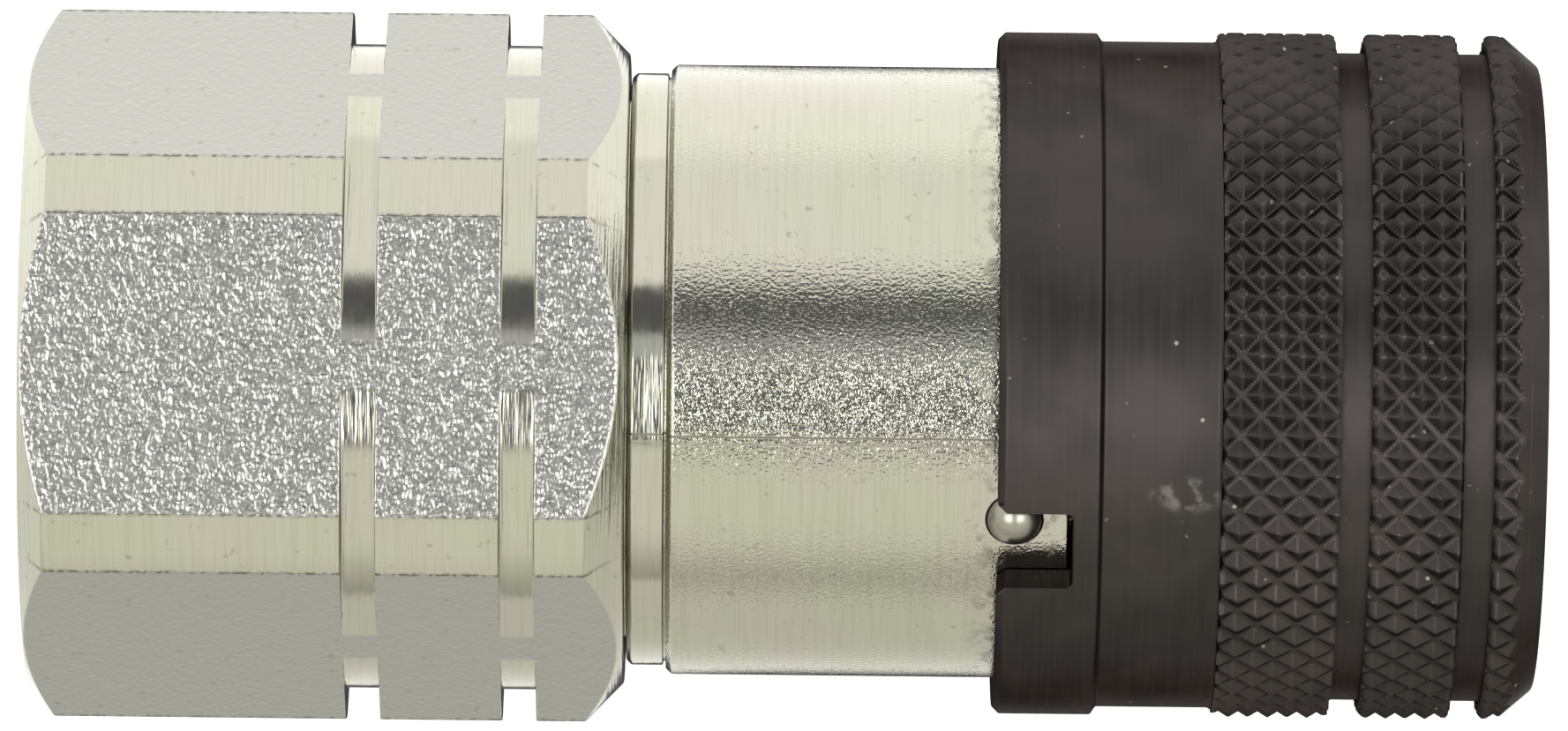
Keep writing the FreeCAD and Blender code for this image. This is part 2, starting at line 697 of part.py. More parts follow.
def stem_spider():
    """The disc that carries the stem, with a ring of flow holes."""
    body = flat_ring(
        "stem_spider",
        "cavity_at",
        "spider_front",
        "stem_stud_radius + sliding_gap / 2",
        "cavity_radius - sliding_gap",
    )
    doc.recompute()
    plain = body.Shape.Volume
    sketch = body.newObject("Sketcher::SketchObject", "flow_hole_outline")
    sketch.AttachmentSupport = (origin_part(body, "YZ_Plane"), [""])
    sketch.MapMode = "FlatFace"
    radius, reach = value("spider_hole_diameter / 2"), value("spider_hole_radius")
    sketch.addGeometry(Part.Circle(Vector(0, reach, 0), Vector(0, 0, 1), radius), False)
    sketch.addConstraint(Sketcher.Constraint("PointOnObject", 0, 3, -2))
    index = sketch.addConstraint(Sketcher.Constraint("DistanceY", -1, 1, 0, 3, reach))
    sketch.renameConstraint(index, "reach")
    sketch.setExpression("Constraints.reach", formula("spider_hole_radius"))
    index = sketch.addConstraint(Sketcher.Constraint("Radius", 0, radius))
    sketch.renameConstraint(index, "radius")
    sketch.setExpression("Constraints.radius", formula("spider_hole_diameter / 2"))
    hole = body.newObject("PartDesign::Pocket", "flow_hole")
    hole.Profile = sketch
    hole.Reversed = True
    bind(hole, Length="spider_front + 1")
    must_cut(body, plain, "flow hole")
    around_axis(body, hole, "flow_holes", "spider_hole_count")
    return body


def stem_nut():
    """The hex nut that holds the stem to the spider."""
    body = flat_ring("nut_blank", "nut_rear", "cavity_at", "stem_stud_radius + seal_gap", "nut_flats")
    bar = doc.addObject("Part::Prism", "nut_bar")
    bar.Polygon = 6
    bind(bar, Circumradius="nut_flats / sqrt(3)", Height="cavity_at")
    bar.Placement = Placement(Vector(), Rotation(Vector(0, 1, 0), 90))
    nut = doc.addObject("Part::Common", "stem_nut")
    nut.Base, nut.Tool = body, bar
    nut.Label = "stem_nut"
    return nut


def seals():
    """O-rings and their backup rings, each in its own gland."""
    ring_seal(
        "spigot_o_ring",
        "(spigot_gland_rear + spigot_gland_front) / 2",
        "spigot_gland_radius + spigot_gland_depth / 2 + sliding_gap / 2",
        "spigot_seal_section",
    )
    ring_seal(
        "valve_guide_o_ring",
        "guide_gland_rear + guide_seal_section / 2 + sliding_gap",
        "valve_guide_radius + guide_gland_depth / 2 - sliding_gap / 4",
        "guide_seal_section",
    )
    ring_seal(
        "nose_o_ring",
        "seal_gland_rear + seal_section / 2 + sliding_gap",
        "bore_radius + seal_gland_depth / 2",
        "seal_section",
    )
    ring_seal(
        "stem_o_ring",
        "(stem_gland_rear + stem_gland_front) / 2",
        "stem_head_radius - stem_gland_depth / 2 + sliding_gap / 4",
        "stem_seal_section",
    )
    flat_ring(
        "valve_guide_backup_ring",
        "guide_gland_front - guide_backup_width - sliding_gap",
        "guide_gland_front - sliding_gap",
        "valve_guide_radius + seal_gap",
        "guide_gland_radius - seal_gap",
    )
    flat_ring(
        "nose_backup_ring",
        "seal_gland_front - nose_backup_width - sliding_gap",
        "seal_gland_front - sliding_gap",
        "bore_radius + seal_gap",
        "seal_gland_radius - seal_gap",
    )


def springs():
    """The three coil springs, each centred in the room it works in."""
    coil_spring(
        "sleeve_spring",
        "body_shoulder_at",
        "washer_rear",
        "(body_front_radius + sleeve_bore_radius) / 2",
        "sleeve_spring_wire",
        "sleeve_spring_turns",
    )
    coil_spring(
        "shuttle_spring",
        "partition_front",
        "shuttle_head_rear",
        "(valve_radius + shuttle_skirt_radius) / 2",
        "shuttle_spring_wire",
        "shuttle_spring_turns",
    )
    coil_spring(
        "valve_spring",
        "spider_front",
        "collar_ring_rear",
        "(valve_tail_radius + cavity_radius) / 2",
        "valve_spring_wire",
        "valve_spring_turns",
    )


def rings():
    """Washer behind the sleeve's shoulder, collar ring on the valve sleeve, and the split snap ring."""
    flat_ring(
        "spring_washer",
        "washer_rear",
        "spring_room_end",
        "body_front_radius + loose_gap",
        "sleeve_bore_radius - loose_gap",
    )
    flat_ring(
        "valve_collar_ring",
        "collar_ring_rear",
        "collar_ring_front",
        "valve_tail_radius + sliding_gap / 2",
        "collar_ring_radius",
    )
    turned(
        "sleeve_snap_ring",
        [
            ("ring_rear + sliding_gap", "ring_groove_radius + seal_gap"),
            ("ring_front - sliding_gap", "ring_groove_radius + seal_gap"),
            ("ring_front - sliding_gap", "ring_outer_radius"),
            ("ring_rear + sliding_gap", "ring_outer_radius"),
        ],
        "360 - snap_ring_gap",
    )


def balls():
    """The locking balls in their race, and the single lock ball in the notch."""
    for number in range(int(value("ball_count"))):
        ball = doc.addObject("Part::Sphere", f"locking_ball_{number + 1:02d}")
        ball.Label = ball.Name
        bind(ball, Radius="ball_radius")
        turn = f"{number} * 360deg / ball_count"
        put(
            ball,
            x="ball_at - face_at",
            y=f"ball_out * cos({turn})",
            z=f"ball_out * sin({turn})",
        )
    ball = doc.addObject("Part::Sphere", "lock_ball")
    ball.Label = "lock_ball"
    bind(ball, Radius="lock_ball_radius")
    put(
        ball,
        x="lock_ball_at - face_at",
        y="0 - lock_ball_centre * sin(lock_ball_angle)",
        z="lock_ball_centre * cos(lock_ball_angle)",
    )


def write_pieces():
    """Moves the turned pieces to the frame, checks every object and writes each piece to STEP."""
    stock = {"adapter_blank", "hex_bar", "nut_blank", "nut_bar"}
    turned_kinds = ("PartDesign::Body", "Part::Common")
    kinds = turned_kinds + ("Part::Torus", "Part::Sphere")
    pieces = [item for item in doc.Objects if item.TypeId in kinds and item.Name not in stock]
    for piece in pieces:
        if piece.TypeId in turned_kinds:
            put(piece, x="0 - face_at")
    doc.recompute()
    failed = [item.Name for item in doc.Objects if {"Invalid", "Error"} & set(item.State)]
    if failed:
        raise RuntimeError(f"failed objects: {failed}")
    for piece in pieces:
        if piece.Shape.isNull() or not piece.Shape.isValid() or not piece.Shape.Solids:
            raise RuntimeError(f"{piece.Label} has no valid solid")
    os.makedirs("parts", exist_ok=True)
    for piece in pieces:
        piece.Shape.exportStep(f"parts/{piece.Label}.step")
    print(f"{len(pieces)} pieces written")


rear_adapter()
front_body()
locking_sleeve()
face_shuttle()
valve_sleeve()
valve_stem()
stem_spider()
stem_nut()
seals()
springs()
rings()
balls()
write_pieces()
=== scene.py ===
import math

import bmesh
import bpy
import numpy as np
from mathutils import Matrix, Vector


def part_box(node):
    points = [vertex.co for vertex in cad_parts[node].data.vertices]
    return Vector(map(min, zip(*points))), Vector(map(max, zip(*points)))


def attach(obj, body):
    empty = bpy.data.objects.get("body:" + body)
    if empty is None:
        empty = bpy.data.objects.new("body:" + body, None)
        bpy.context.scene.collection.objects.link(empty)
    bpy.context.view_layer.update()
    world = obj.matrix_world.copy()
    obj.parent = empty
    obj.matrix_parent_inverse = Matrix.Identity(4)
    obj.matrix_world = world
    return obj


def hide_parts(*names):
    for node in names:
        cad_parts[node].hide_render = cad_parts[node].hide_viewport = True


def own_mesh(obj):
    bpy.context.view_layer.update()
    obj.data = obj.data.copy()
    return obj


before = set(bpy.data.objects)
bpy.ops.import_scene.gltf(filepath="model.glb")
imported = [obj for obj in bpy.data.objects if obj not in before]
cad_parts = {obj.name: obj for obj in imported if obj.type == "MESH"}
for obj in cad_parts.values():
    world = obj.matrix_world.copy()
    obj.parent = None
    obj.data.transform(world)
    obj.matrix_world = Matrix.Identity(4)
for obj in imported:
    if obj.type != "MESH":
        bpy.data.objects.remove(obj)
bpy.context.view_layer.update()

# ---------------------------------------------------------------- camera, table and light
# A white table under white diffusers on all sides. For dark lines in the metal, it mirrors a gap
# overhead that the camera looks through, with a pale strip and two lamps in it, and a black card
# of painted shade under the coupler, which stands in for the coupler's shade on the table.


def node(tree, kind, inputs=(), out=0, **settings):
    """Adds one node and returns its output. Inputs are numbers, colours or sockets, by place or name."""
    made = tree.nodes.new("ShaderNode" + kind)
    for key, value in settings.items():
        setattr(made, key, value)
    for key, value in (inputs if isinstance(inputs, dict) else dict(enumerate(inputs))).items():
        if isinstance(value, bpy.types.NodeSocket):
            tree.links.new(value, made.inputs[key])
        else:
            made.inputs[key].default_value = value
    return made.outputs[out]


SMOOTH = {"interpolation_type": "SMOOTHSTEP"}
# The camera looks straight down from 1 m above the axis, where its view is 109.8 mm wide.
CAMERA_DISTANCE = 1.0
FIELD_WIDTH = 0.1098
camera_data = bpy.data.cameras.new("camera")
camera_data.sensor_width = 36
camera_data.lens = 36 * CAMERA_DISTANCE / FIELD_WIDTH
camera_data.clip_start = 0.01
camera_data.clip_end = 50
camera = bpy.data.objects.new("camera", camera_data)
bpy.context.collection.objects.link(camera)
camera.location = (-0.05105, 0.00034, CAMERA_DISTANCE)
camera.rotation_euler = (0, 0, math.radians(0.62))
bpy.context.scene.camera = camera
bpy.context.scene.view_settings.view_transform = "Standard"

# The coupler lies on the rear edge of its lower wrench flat and on the sleeve's collar.
REAR_REST = (-0.10167, -0.0225)
FRONT_REST = (-0.0358, -0.02387)
slope = (FRONT_REST[1] - REAR_REST[1]) / (FRONT_REST[0] - REAR_REST[0])


def flat_sheet(name, outline, lift=0.0):
    """A sheet on the table: each corner's z is rear rest + (x - rear rest) slope + lift."""
    mesh = bpy.data.meshes.new(name)
    corners = [(x, y, REAR_REST[1] + (x - REAR_REST[0]) * slope + lift) for x, y in outline]
    mesh.from_pydata(corners, [], [tuple(range(len(corners)))])
    sheet = bpy.data.objects.new(name, mesh)
    bpy.context.collection.objects.link(sheet)
    return sheet


TABLE_HALF = 9.0
table = flat_sheet(
    "table_top",
    [(x * TABLE_HALF, y * TABLE_HALF) for x, y in ((-1, -1), (1, -1), (1, 1), (-1, 1))],
)
paper = bpy.data.materials.new("white_paper")
paper.use_nodes = True
tree = paper.node_tree
shader = tree.nodes["Principled BSDF"]
shader.inputs["Base Color"].default_value = (0.3, 0.3, 0.3, 1)
shader.inputs["Roughness"].default_value = 0.9
# Lit from below, and more on the +Y side, where the window is.
axes = tree.nodes.new("ShaderNodeSeparateXYZ")
tree.links.new(tree.nodes.new("ShaderNodeTexCoord").outputs["Object"], axes.inputs[0])
dim = node(tree, "MapRange", [axes.outputs["Y"], -0.060, -0.028, 0, 1], **SMOOTH)
dim = node(
    tree, "Mix", {0: dim, 6: (0.50, 0.49, 0.42, 1), 7: (0.80, 0.79, 0.76, 1)}, 2, data_type="RGBA"
)
side = node(tree, "MapRange", [axes.outputs["Y"], -0.03, 0.03, 0, 1], **SMOOTH)
glow = node(tree, "Mix", {0: side, 6: dim, 7: (1.34, 1.34, 1.31, 1)}, 2, data_type="RGBA")
tree.links.new(glow, shader.inputs["Emission Color"])
shader.inputs["Emission Strength"].default_value = 1.0
table.data.materials.append(paper)

# Painted shade: a black card lies under the coupler, out of the camera's sight and seen only in
# reflections, where the glowing table shows no shade of the coupler. It darkens the edges of the
# coupler's sides. It is narrower in front of the hexagon, whose front chamfer would mirror it.
CARD_HALF = ((-0.104, 0.030), (-0.0625, 0.030), (-0.0618, 0.0268), (-0.052, 0.031), (0.002, 0.031))
card_outline = [(x, -y) for x, y in CARD_HALF] + list(CARD_HALF[::-1])
card = flat_sheet("painted_shade_card", card_outline, 0.00005)
painted_shade_material = bpy.data.materials.new("painted_shade_paper")
painted_shade_material.use_nodes = True
shader = painted_shade_material.node_tree.nodes["Principled BSDF"]
shader.inputs["Base Color"].default_value = (0.04, 0.04, 0.05, 1)
shader.inputs["Roughness"].default_value = 0.9
card.data.materials.append(painted_shade_material)
card.visible_camera = False
card.visible_diffuse = False
card.visible_shadow = False

world = bpy.data.worlds.new("diffusers")
bpy.context.scene.world = world
world.use_nodes = True
tree = world.node_tree
background = tree.nodes["Background"]
way = tree.nodes.new("ShaderNodeTexCoord").outputs["Generated"]
part = tree.nodes.new("ShaderNodeSeparateXYZ")
tree.links.new(way, part.inputs[0])
tilt_y = node(tree, "Math", [part.outputs["Y"], part.outputs["Z"]], operation="ARCTAN2")
tilt_x = node(tree, "Math", [part.outputs["X"], part.outputs["Z"]], operation="ARCTAN2")
DEG = math.radians(1)
LAMP = (5.5, 5.5, 5.4, 1)
gap = 1.0
for tilt, start, full in ((tilt_y, 34, 31), (tilt_y, -31, -27), (tilt_x, 44, 34), (tilt_x, -44, -34)):
    side = node(tree, "MapRange", [tilt, start * DEG, full * DEG, 0, 1], **SMOOTH)
    gap = node(tree, "Math", [gap, side], operation="MULTIPLY")
gap_colour = (0.185, 0.19, 0.20, 1)
# A pale strip across the gap, and a lamp on each side of the camera, which only what leans
# towards +X or -X can mirror.
for limits, colour in (
    (((tilt_y, 15, 12), (tilt_y, 2, 6)), (0.92, 0.94, 0.98, 1)),
    (((tilt_y, 6, 3), (tilt_y, -29, -25), (tilt_x, 7, 10), (tilt_x, 42, 36)), LAMP),
    (((tilt_y, 6, 3), (tilt_y, -29, -25), (tilt_x, -7, -10), (tilt_x, -42, -36)), LAMP),
):
    share = 1.0
    for tilt, start, full in limits:
        side = node(tree, "MapRange", [tilt, start * DEG, full * DEG, 0, 1], **SMOOTH)
        share = node(tree, "Math", [share, side], operation="MULTIPLY")
    gap_colour = node(tree, "Mix", {0: share, 6: gap_colour, 7: colour}, 2, data_type="RGBA")
low = node(tree, "MapRange", [tilt_y, -95 * DEG, -62 * DEG, 0, 1], **SMOOTH)
white = node(
    tree, "Mix", {0: low, 6: (0.60, 0.585, 0.52, 1), 7: (1.33, 1.31, 1.18, 1)}, 2, data_type="RGBA"
)
high = node(tree, "MapRange", [tilt_y, -30 * DEG, 30 * DEG, 0, 1], **SMOOTH)
white = node(tree, "Mix", {0: high, 6: white, 7: (1.64, 1.64, 1.58, 1)}, 2, data_type="RGBA")
light = node(tree, "Mix", {0: gap, 6: white, 7: gap_colour}, 2, data_type="RGBA")
tree.links.new(light, background.inputs["Color"])
background.inputs["Strength"].default_value = 1.0

# ---------------------------------------------------------------- rear adapter, outside
# Zinc-plated steel, from 45 mm hexagon bar. The bar is turned down at its corners, chamfered at
# both ends and grooved twice, and its six flats keep the etched, pebbled skin of the drawn bar.

# Places along the axis are in mm from the rear face, and FACE is where the coupling face is.
FACE = round(-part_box("rear_adapter")[0][0] * 1000, 4)


def extent(name):
    """A CAD node's start and end in mm from the rear face, and its reach towards +Y."""
    (start, _, _), (end, across, _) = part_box(name)
    return round(start * 1000 + FACE, 4), round(end * 1000 + FACE, 4), round(across * 1000, 4)


ADAPTER_END, HEX_TURNED = extent("rear_adapter")[1:]
HEX_FLATS = round(2000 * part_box("rear_adapter")[1][2], 4)
REAR_FACE = 22.3
FRONT_FACE = 22.0
HEX_LENGTH = 41.6
REAR_SLOPE = math.tan(math.radians(36))
FRONT_SLOPE = math.tan(math.radians(44))
GROOVES = (22.2, 33.1)
GROOVE_WIDTH = 2.4
GROOVE_RADIUS = 22.54
MOUTH = 14.65
CAVITY = 14.9
CAVITY_AT = extent("stem_spider")[0]
SHOULDER = 18.9
SHOULDER_END = 49.6
SPIGOT = 17.9
SPIGOT_SEAL = (50.8, 53.2)
SPIGOT_SEAL_FLOOR = 16.0


def rounded(corners, steps=2, closed=True):
    """Rows of a half section whose corners are rounded.

    Each corner is x, radius and round, in mm, and x and radius may differ from column to column.
    At a corner C the line curves as (1-t)^2 (C + a d) + 2t(1-t) C + t^2 (C + b d), where a and b
    point to the neighbouring corners and d is the round, at most 0.4 of the shorter side. A row
    at 1.2 d each side keeps the shading of the flat runs flat.
    """
    shape = np.broadcast_shapes(*[np.shape(term) for corner in corners for term in corner[:2]], (1,))
    points = [np.stack([np.broadcast_to(np.asarray(v, float), shape) for v in c[:2]]) for c in corners]
    rows = []
    count = len(points)
    for i, corner in enumerate(corners):
        if not closed and i in (0, count - 1):
            rows.append(points[i])
            continue
        back = points[i - 1] - points[i]
        on = points[(i + 1) % count] - points[i]
        back_length = np.maximum(np.hypot(*back), 1e-6)
        on_length = np.maximum(np.hypot(*on), 1e-6)
        size = np.minimum(corner[2], 0.4 * np.minimum(back_length, on_length))
        away, ahead = back / back_length * size, on / on_length * size
        rows.append(points[i] + away * 1.2)
        for t in np.linspace(0, 1, steps + 2):
            rows.append(points[i] + (1 - t) ** 2 * away + t**2 * ahead)
        rows.append(points[i] + ahead * 1.2)
    rows = np.array(rows)
    return rows[:, 0], rows[:, 1]


def lathe(x, radius, angle):
    """Places x and radius in mm at angles from +Z towards +Y: (x, r sin a, r cos a), in metres."""
    x, radius, angle = np.broadcast_arrays(x, radius, angle)
    return np.stack([x - FACE, radius * np.sin(angle), radius * np.cos(angle)], axis=-1) * 0.001


def grid_faces(rows, columns, close_rows=True, close_columns=True):
    """Four-cornered faces of a grid of rows by columns, counted row by row."""
    index = np.arange(rows * columns).reshape(rows, columns)
    if close_rows:
        index = np.vstack([index, index[:1]])
    if close_columns:
        index = np.hstack([index, index[:, :1]])
    faces = [index[:-1, :-1], index[1:, :-1], index[1:, 1:], index[:-1, 1:]]
    return np.stack(faces, axis=-1).reshape(-1, 4)


def make_piece(name, blocks, body, replaced=(), crease=35, marks=None):
    """Joins blocks of points and faces in one mesh, welds it and turns its faces outwards.

    Edges sharper than crease degrees stay sharp in the shading. The piece rides on body and
    stands for the replaced CAD nodes.
    """
    points, faces, count = [], [], 0
    for block, block_faces in blocks:
        block = np.asarray(block).reshape(-1, 3)
        points.append(block)
        faces.append(np.asarray(block_faces) + count)
        count += len(block)
    mesh = bpy.data.meshes.new(name)
    mesh.from_pydata(np.vstack(points), [], [face for part in faces for face in part.tolist()])
    for label, values in (marks or {}).items():
        mesh.attributes.new(label, "FLOAT", "POINT").data.foreach_set("value", np.ravel(values))
    work = bmesh.new()
    work.from_mesh(mesh)
    bmesh.ops.remove_doubles(work, verts=work.verts, dist=2e-7)
    bmesh.ops.dissolve_degenerate(work, dist=1e-8, edges=work.edges)
    bmesh.ops.recalc_face_normals(work, faces=work.faces)
    work.to_mesh(mesh)
    work.free()
    mesh.shade_smooth()
    mesh.set_sharp_from_angle(angle=math.radians(crease))
    piece = bpy.data.objects.new(name, mesh)
    bpy.context.collection.objects.link(piece)
    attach(piece, body)
    if replaced:
        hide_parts(*replaced)
    return piece


# Degrees from the middle of a flat. Columns stand close where a flat ends, and between there and
# the corner of the hexagon, where the bar is turned.
half = [0, 1.3, 2.6, 3.1, 3.38, 3.7, 4.6, 6.5, 8.5, 10.5, 12.5, 14.5, 16.5, 18.5, 20.5, 22.4]
half += [23.9, 24.3, 24.5, 24.62, 24.74, 24.94, 25.3, 26.6, 28.3]
sextant = np.concatenate([[-30.0], -np.array(half[:0:-1]), half])
angle = np.radians((np.arange(6)[:, None] * 60 + sextant).ravel())
from_flat = np.radians(np.tile(sextant, 6))
to_flat = HEX_FLATS / 2 / np.cos(from_flat)
outer = np.minimum(to_flat, HEX_TURNED)
rear_run = (outer - REAR_FACE) * REAR_SLOPE
front_run = (outer - FRONT_FACE) * FRONT_SLOPE
groove = np.minimum(GROOVE_RADIUS, outer - 0.004)
section = [(0, MOUTH, 0.05), (0, REAR_FACE, 0.05), (rear_run, outer, 0.12)]
for start in GROOVES:
    section += [
        (start, outer, 0.10),
        (start, groove, 0.12),
        (start + GROOVE_WIDTH, groove, 0.12),
        (start + GROOVE_WIDTH, outer, 0.10),
    ]
section += [
    (HEX_LENGTH - front_run, outer, 0.14),
    (HEX_LENGTH, FRONT_FACE, 0.12),
    (HEX_LENGTH, SHOULDER, 0.05),
    (SHOULDER_END, SHOULDER, 0.3),
    (SHOULDER_END, SPIGOT, 0.05),
    (SPIGOT_SEAL[0], SPIGOT, 0.1),
    (SPIGOT_SEAL[0], SPIGOT_SEAL_FLOOR, 0.1),
    (SPIGOT_SEAL[1], SPIGOT_SEAL_FLOOR, 0.1),
    (SPIGOT_SEAL[1], SPIGOT, 0.1),
    (ADAPTER_END, SPIGOT, 0.3),
    (ADAPTER_END, CAVITY, 0.05),
    (CAVITY_AT, CAVITY, 0.05),
    (CAVITY_AT, MOUTH, 0.02),
]
x, radius = rounded(section)
on_flat = (np.abs(radius - to_flat) < 0.03) & (x > 0.05) & (x < HEX_LENGTH - 0.3)
in_groove = sum((x > start - 0.01) & (x < start + GROOVE_WIDTH + 0.01) for start in GROOVES)
in_groove = in_groove * (radius < GROOVE_RADIUS + 0.15) * (1 - on_flat)
FLAT_ENDS = math.degrees(math.acos(HEX_FLATS / 2 / HEX_TURNED))
# Dirt gathers on the outside within about 0.3 degrees of where a flat ends.
corner_gap = np.abs(np.abs(np.degrees(from_flat)) - FLAT_ENDS)
near_corner = np.exp(-((corner_gap / 0.3) ** 2)) * (radius > GROOVE_RADIUS + 0.26)
hex_body = make_piece(
    "hex_body",
    [(lathe(x, radius, angle), grid_faces(*x.shape))],
    "coupler_body",
    ["rear_adapter"],
    marks={"etched": on_flat.astype(float), "corner": near_corner, "smooth": in_groove.astype(float)},
)


def linear(code):
    """Turns an sRGB hex colour such as "C8C4B4" to linear red, green, blue and 1."""
    parts = [int(code[i : i + 2], 16) / 255 for i in (0, 2, 4)]
    return tuple(c / 12.92 if c <= 0.04045 else ((c + 0.055) / 1.055) ** 2.4 for c in parts) + (1.0,)


def turning(tree, place, line=0.24, run=7):
    """A vector whose noise has rings line mm apart that fade every run mm.

    It is (a x, a r + b y, b z), where r is the distance from the axis, a = 1000 / line and
    b = 1000 / run.
    """
    across, around = 1000 / line, 1000 / run
    axes = tree.nodes.new("ShaderNodeSeparateXYZ")
    tree.links.new(place, axes.inputs[0])
    x, y, z = axes.outputs
    squares = node(tree, "Math", [z, z], operation="MULTIPLY")
    squares = node(tree, "Math", [y, y, squares], operation="MULTIPLY_ADD")
    radius = node(tree, "Math", [squares], operation="SQRT")
    y = node(tree, "Math", [y, around], operation="MULTIPLY")
    radius = node(tree, "Math", [radius, across, y], operation="MULTIPLY_ADD")
    x = node(tree, "Math", [x, across], operation="MULTIPLY")
    z = node(tree, "Math", [z, around], operation="MULTIPLY")
    return node(tree, "CombineXYZ", [x, radius, z])


# Depth in mm of the turning lines in grooves and on the neck.
GROOVE_LINES = 0.04


def zinc_plate(name, line_depth, tint, roughness, peel=0.0, skin_peel=0.0, darkening_edge_at=None):
    """Bright zinc plating with a passivated film, over turned or etched steel.

    The attribute etched marks the skin of the drawn bar, and corner its worn edges. Where the
    attribute smooth is 1, as in grooves and on the neck, there are deeper turning lines and no
    pebbles. line_depth is the depth in mm of the turning lines elsewhere, tint the share of the
    film's interference colours, peel and skin_peel the height in mm of the pebbles on turned
    steel and on the etched skin, and darkening_edge_at the x in metres of an edge towards which the
    plate grows darker in patches.
    """
    material = bpy.data.materials.new(name)
    material.use_nodes = True
    tree = material.node_tree
    shader = tree.nodes["Principled BSDF"]
    place = tree.nodes.new("ShaderNodeTexCoord").outputs["Object"]
    parts = tree.nodes.new("ShaderNodeSeparateXYZ")
    tree.links.new(place, parts.inputs[0])
    along = parts.outputs["X"]
    etched = node(tree, "Attribute", out=2, attribute_name="etched")
    corner = node(tree, "Attribute", out=2, attribute_name="corner")
    smooth = node(tree, "Attribute", out=2, attribute_name="smooth")

    # The film's clouds, 8 mm across, turn white light yellow-green here and pink there.
    clouds = node(tree, "TexNoise", {"Vector": place, "Scale": 1000 / 8, "Detail": 2})
    clouds = node(tree, "MapRange", [clouds, 0.42, 0.60, 0, 1], **SMOOTH)
    film = node(
        tree, "Mix", {0: clouds, 6: linear("A9AC98"), 7: linear("AFA7A0")}, 2, data_type="RGBA"
    )
    base = node(tree, "Mix", {0: tint, 6: linear("A9A99D"), 7: film}, 2, data_type="RGBA")
    base = node(tree, "Mix", {0: etched, 6: base, 7: linear("989893")}, 2, data_type="RGBA")
    # Sparse stains, from a grain of 0.9 mm.
    fine = node(tree, "TexNoise", {"Vector": place, "Scale": 1000 / 0.9, "Detail": 3})
    stains = node(tree, "MapRange", [fine, 0.66, 0.74, 0, 0.4], **SMOOTH)
    base = node(tree, "Mix", {0: stains, 6: base, 7: linear("6E6A5A")}, 2, data_type="RGBA")

    # The film is thinner on the crests of the turning lines, 0.24 mm apart.
    lines = node(tree, "TexNoise", {"Vector": turning(tree, place), "Scale": 1, "Detail": 2.5})
    bare = node(tree, "Math", [1.0, etched], operation="SUBTRACT")
    streaks = node(tree, "MapRange", [lines, 0.40, 0.68, 0, 0.14], **SMOOTH)
    streaks = node(tree, "Math", [streaks, bare], operation="MULTIPLY")
    base = node(tree, "Mix", {0: streaks, 6: base, 7: linear("87846F")}, 2, data_type="RGBA")

    # Dirt in grains of 0.4 mm in the worn corners of the hexagon. Beside the sleeve the plate grows
    # darker in patches of 1.1 mm, more so towards the sleeve's rear edge.
    grain = node(tree, "TexNoise", {"Vector": place, "Scale": 1000 / 0.4, "Detail": 3})
    dirt_and_darkening = node(tree, "MapRange", [grain, 0.42, 0.60, 0, 0.8], **SMOOTH)
    dirt_and_darkening = node(tree, "Math", [dirt_and_darkening, corner], operation="MULTIPLY")
    if darkening_edge_at is not None:
        near = node(tree, "MapRange", [along, darkening_edge_at - 0.0026, darkening_edge_at, 0, 0.7], **SMOOTH)
        past = node(tree, "MapRange", [along, darkening_edge_at + 0.006, darkening_edge_at + 0.005, 0, 1], **SMOOTH)
        near = node(tree, "Math", [near, past], operation="MULTIPLY")
        darker_patches = node(tree, "TexNoise", {"Vector": place, "Scale": 1000 / 1.1, "Detail": 6})
        darker_patches = node(tree, "MapRange", [darker_patches, 0.48, 0.66, 0, 0.6], **SMOOTH)
        darker_patches = node(tree, "Math", [near, darker_patches], operation="MULTIPLY")
        dirt_and_darkening = node(tree, "Math", [dirt_and_darkening, darker_patches], operation="MAXIMUM")
        # Two long scratches, 0.15 mm wide, from pulling the sleeve back over dirt.
        tilt = node(tree, "Math", [parts.outputs["Y"], parts.outputs["Z"]], operation="ARCTAN2")
        for scratch, depth in ((-12.5, 0.8), (-13.9, 0.5)):
            off = node(tree, "Math", [tilt, math.radians(scratch)], operation="SUBTRACT")
            off = node(tree, "Math", [off], operation="ABSOLUTE")
            off = node(tree, "MapRange", [off, 0.0052, 0.0026, 0, depth])
            dirt_and_darkening = node(tree, "Math", [dirt_and_darkening, off], operation="MAXIMUM")
    base = node(tree, "Mix", {0: dirt_and_darkening, 6: base, 7: linear("48443A")}, 2, data_type="RGBA")
    tree.links.new(base, shader.inputs["Base Color"])

    # The same lines have uneven depth, everywhere but on the etched skin.
    lines = node(tree, "Math", [lines, bare], operation="MULTIPLY")
    depth = node(tree, "Math", [smooth, GROOVE_LINES - line_depth, line_depth], operation="MULTIPLY_ADD")
    height = node(tree, "Math", [lines, depth], operation="MULTIPLY")
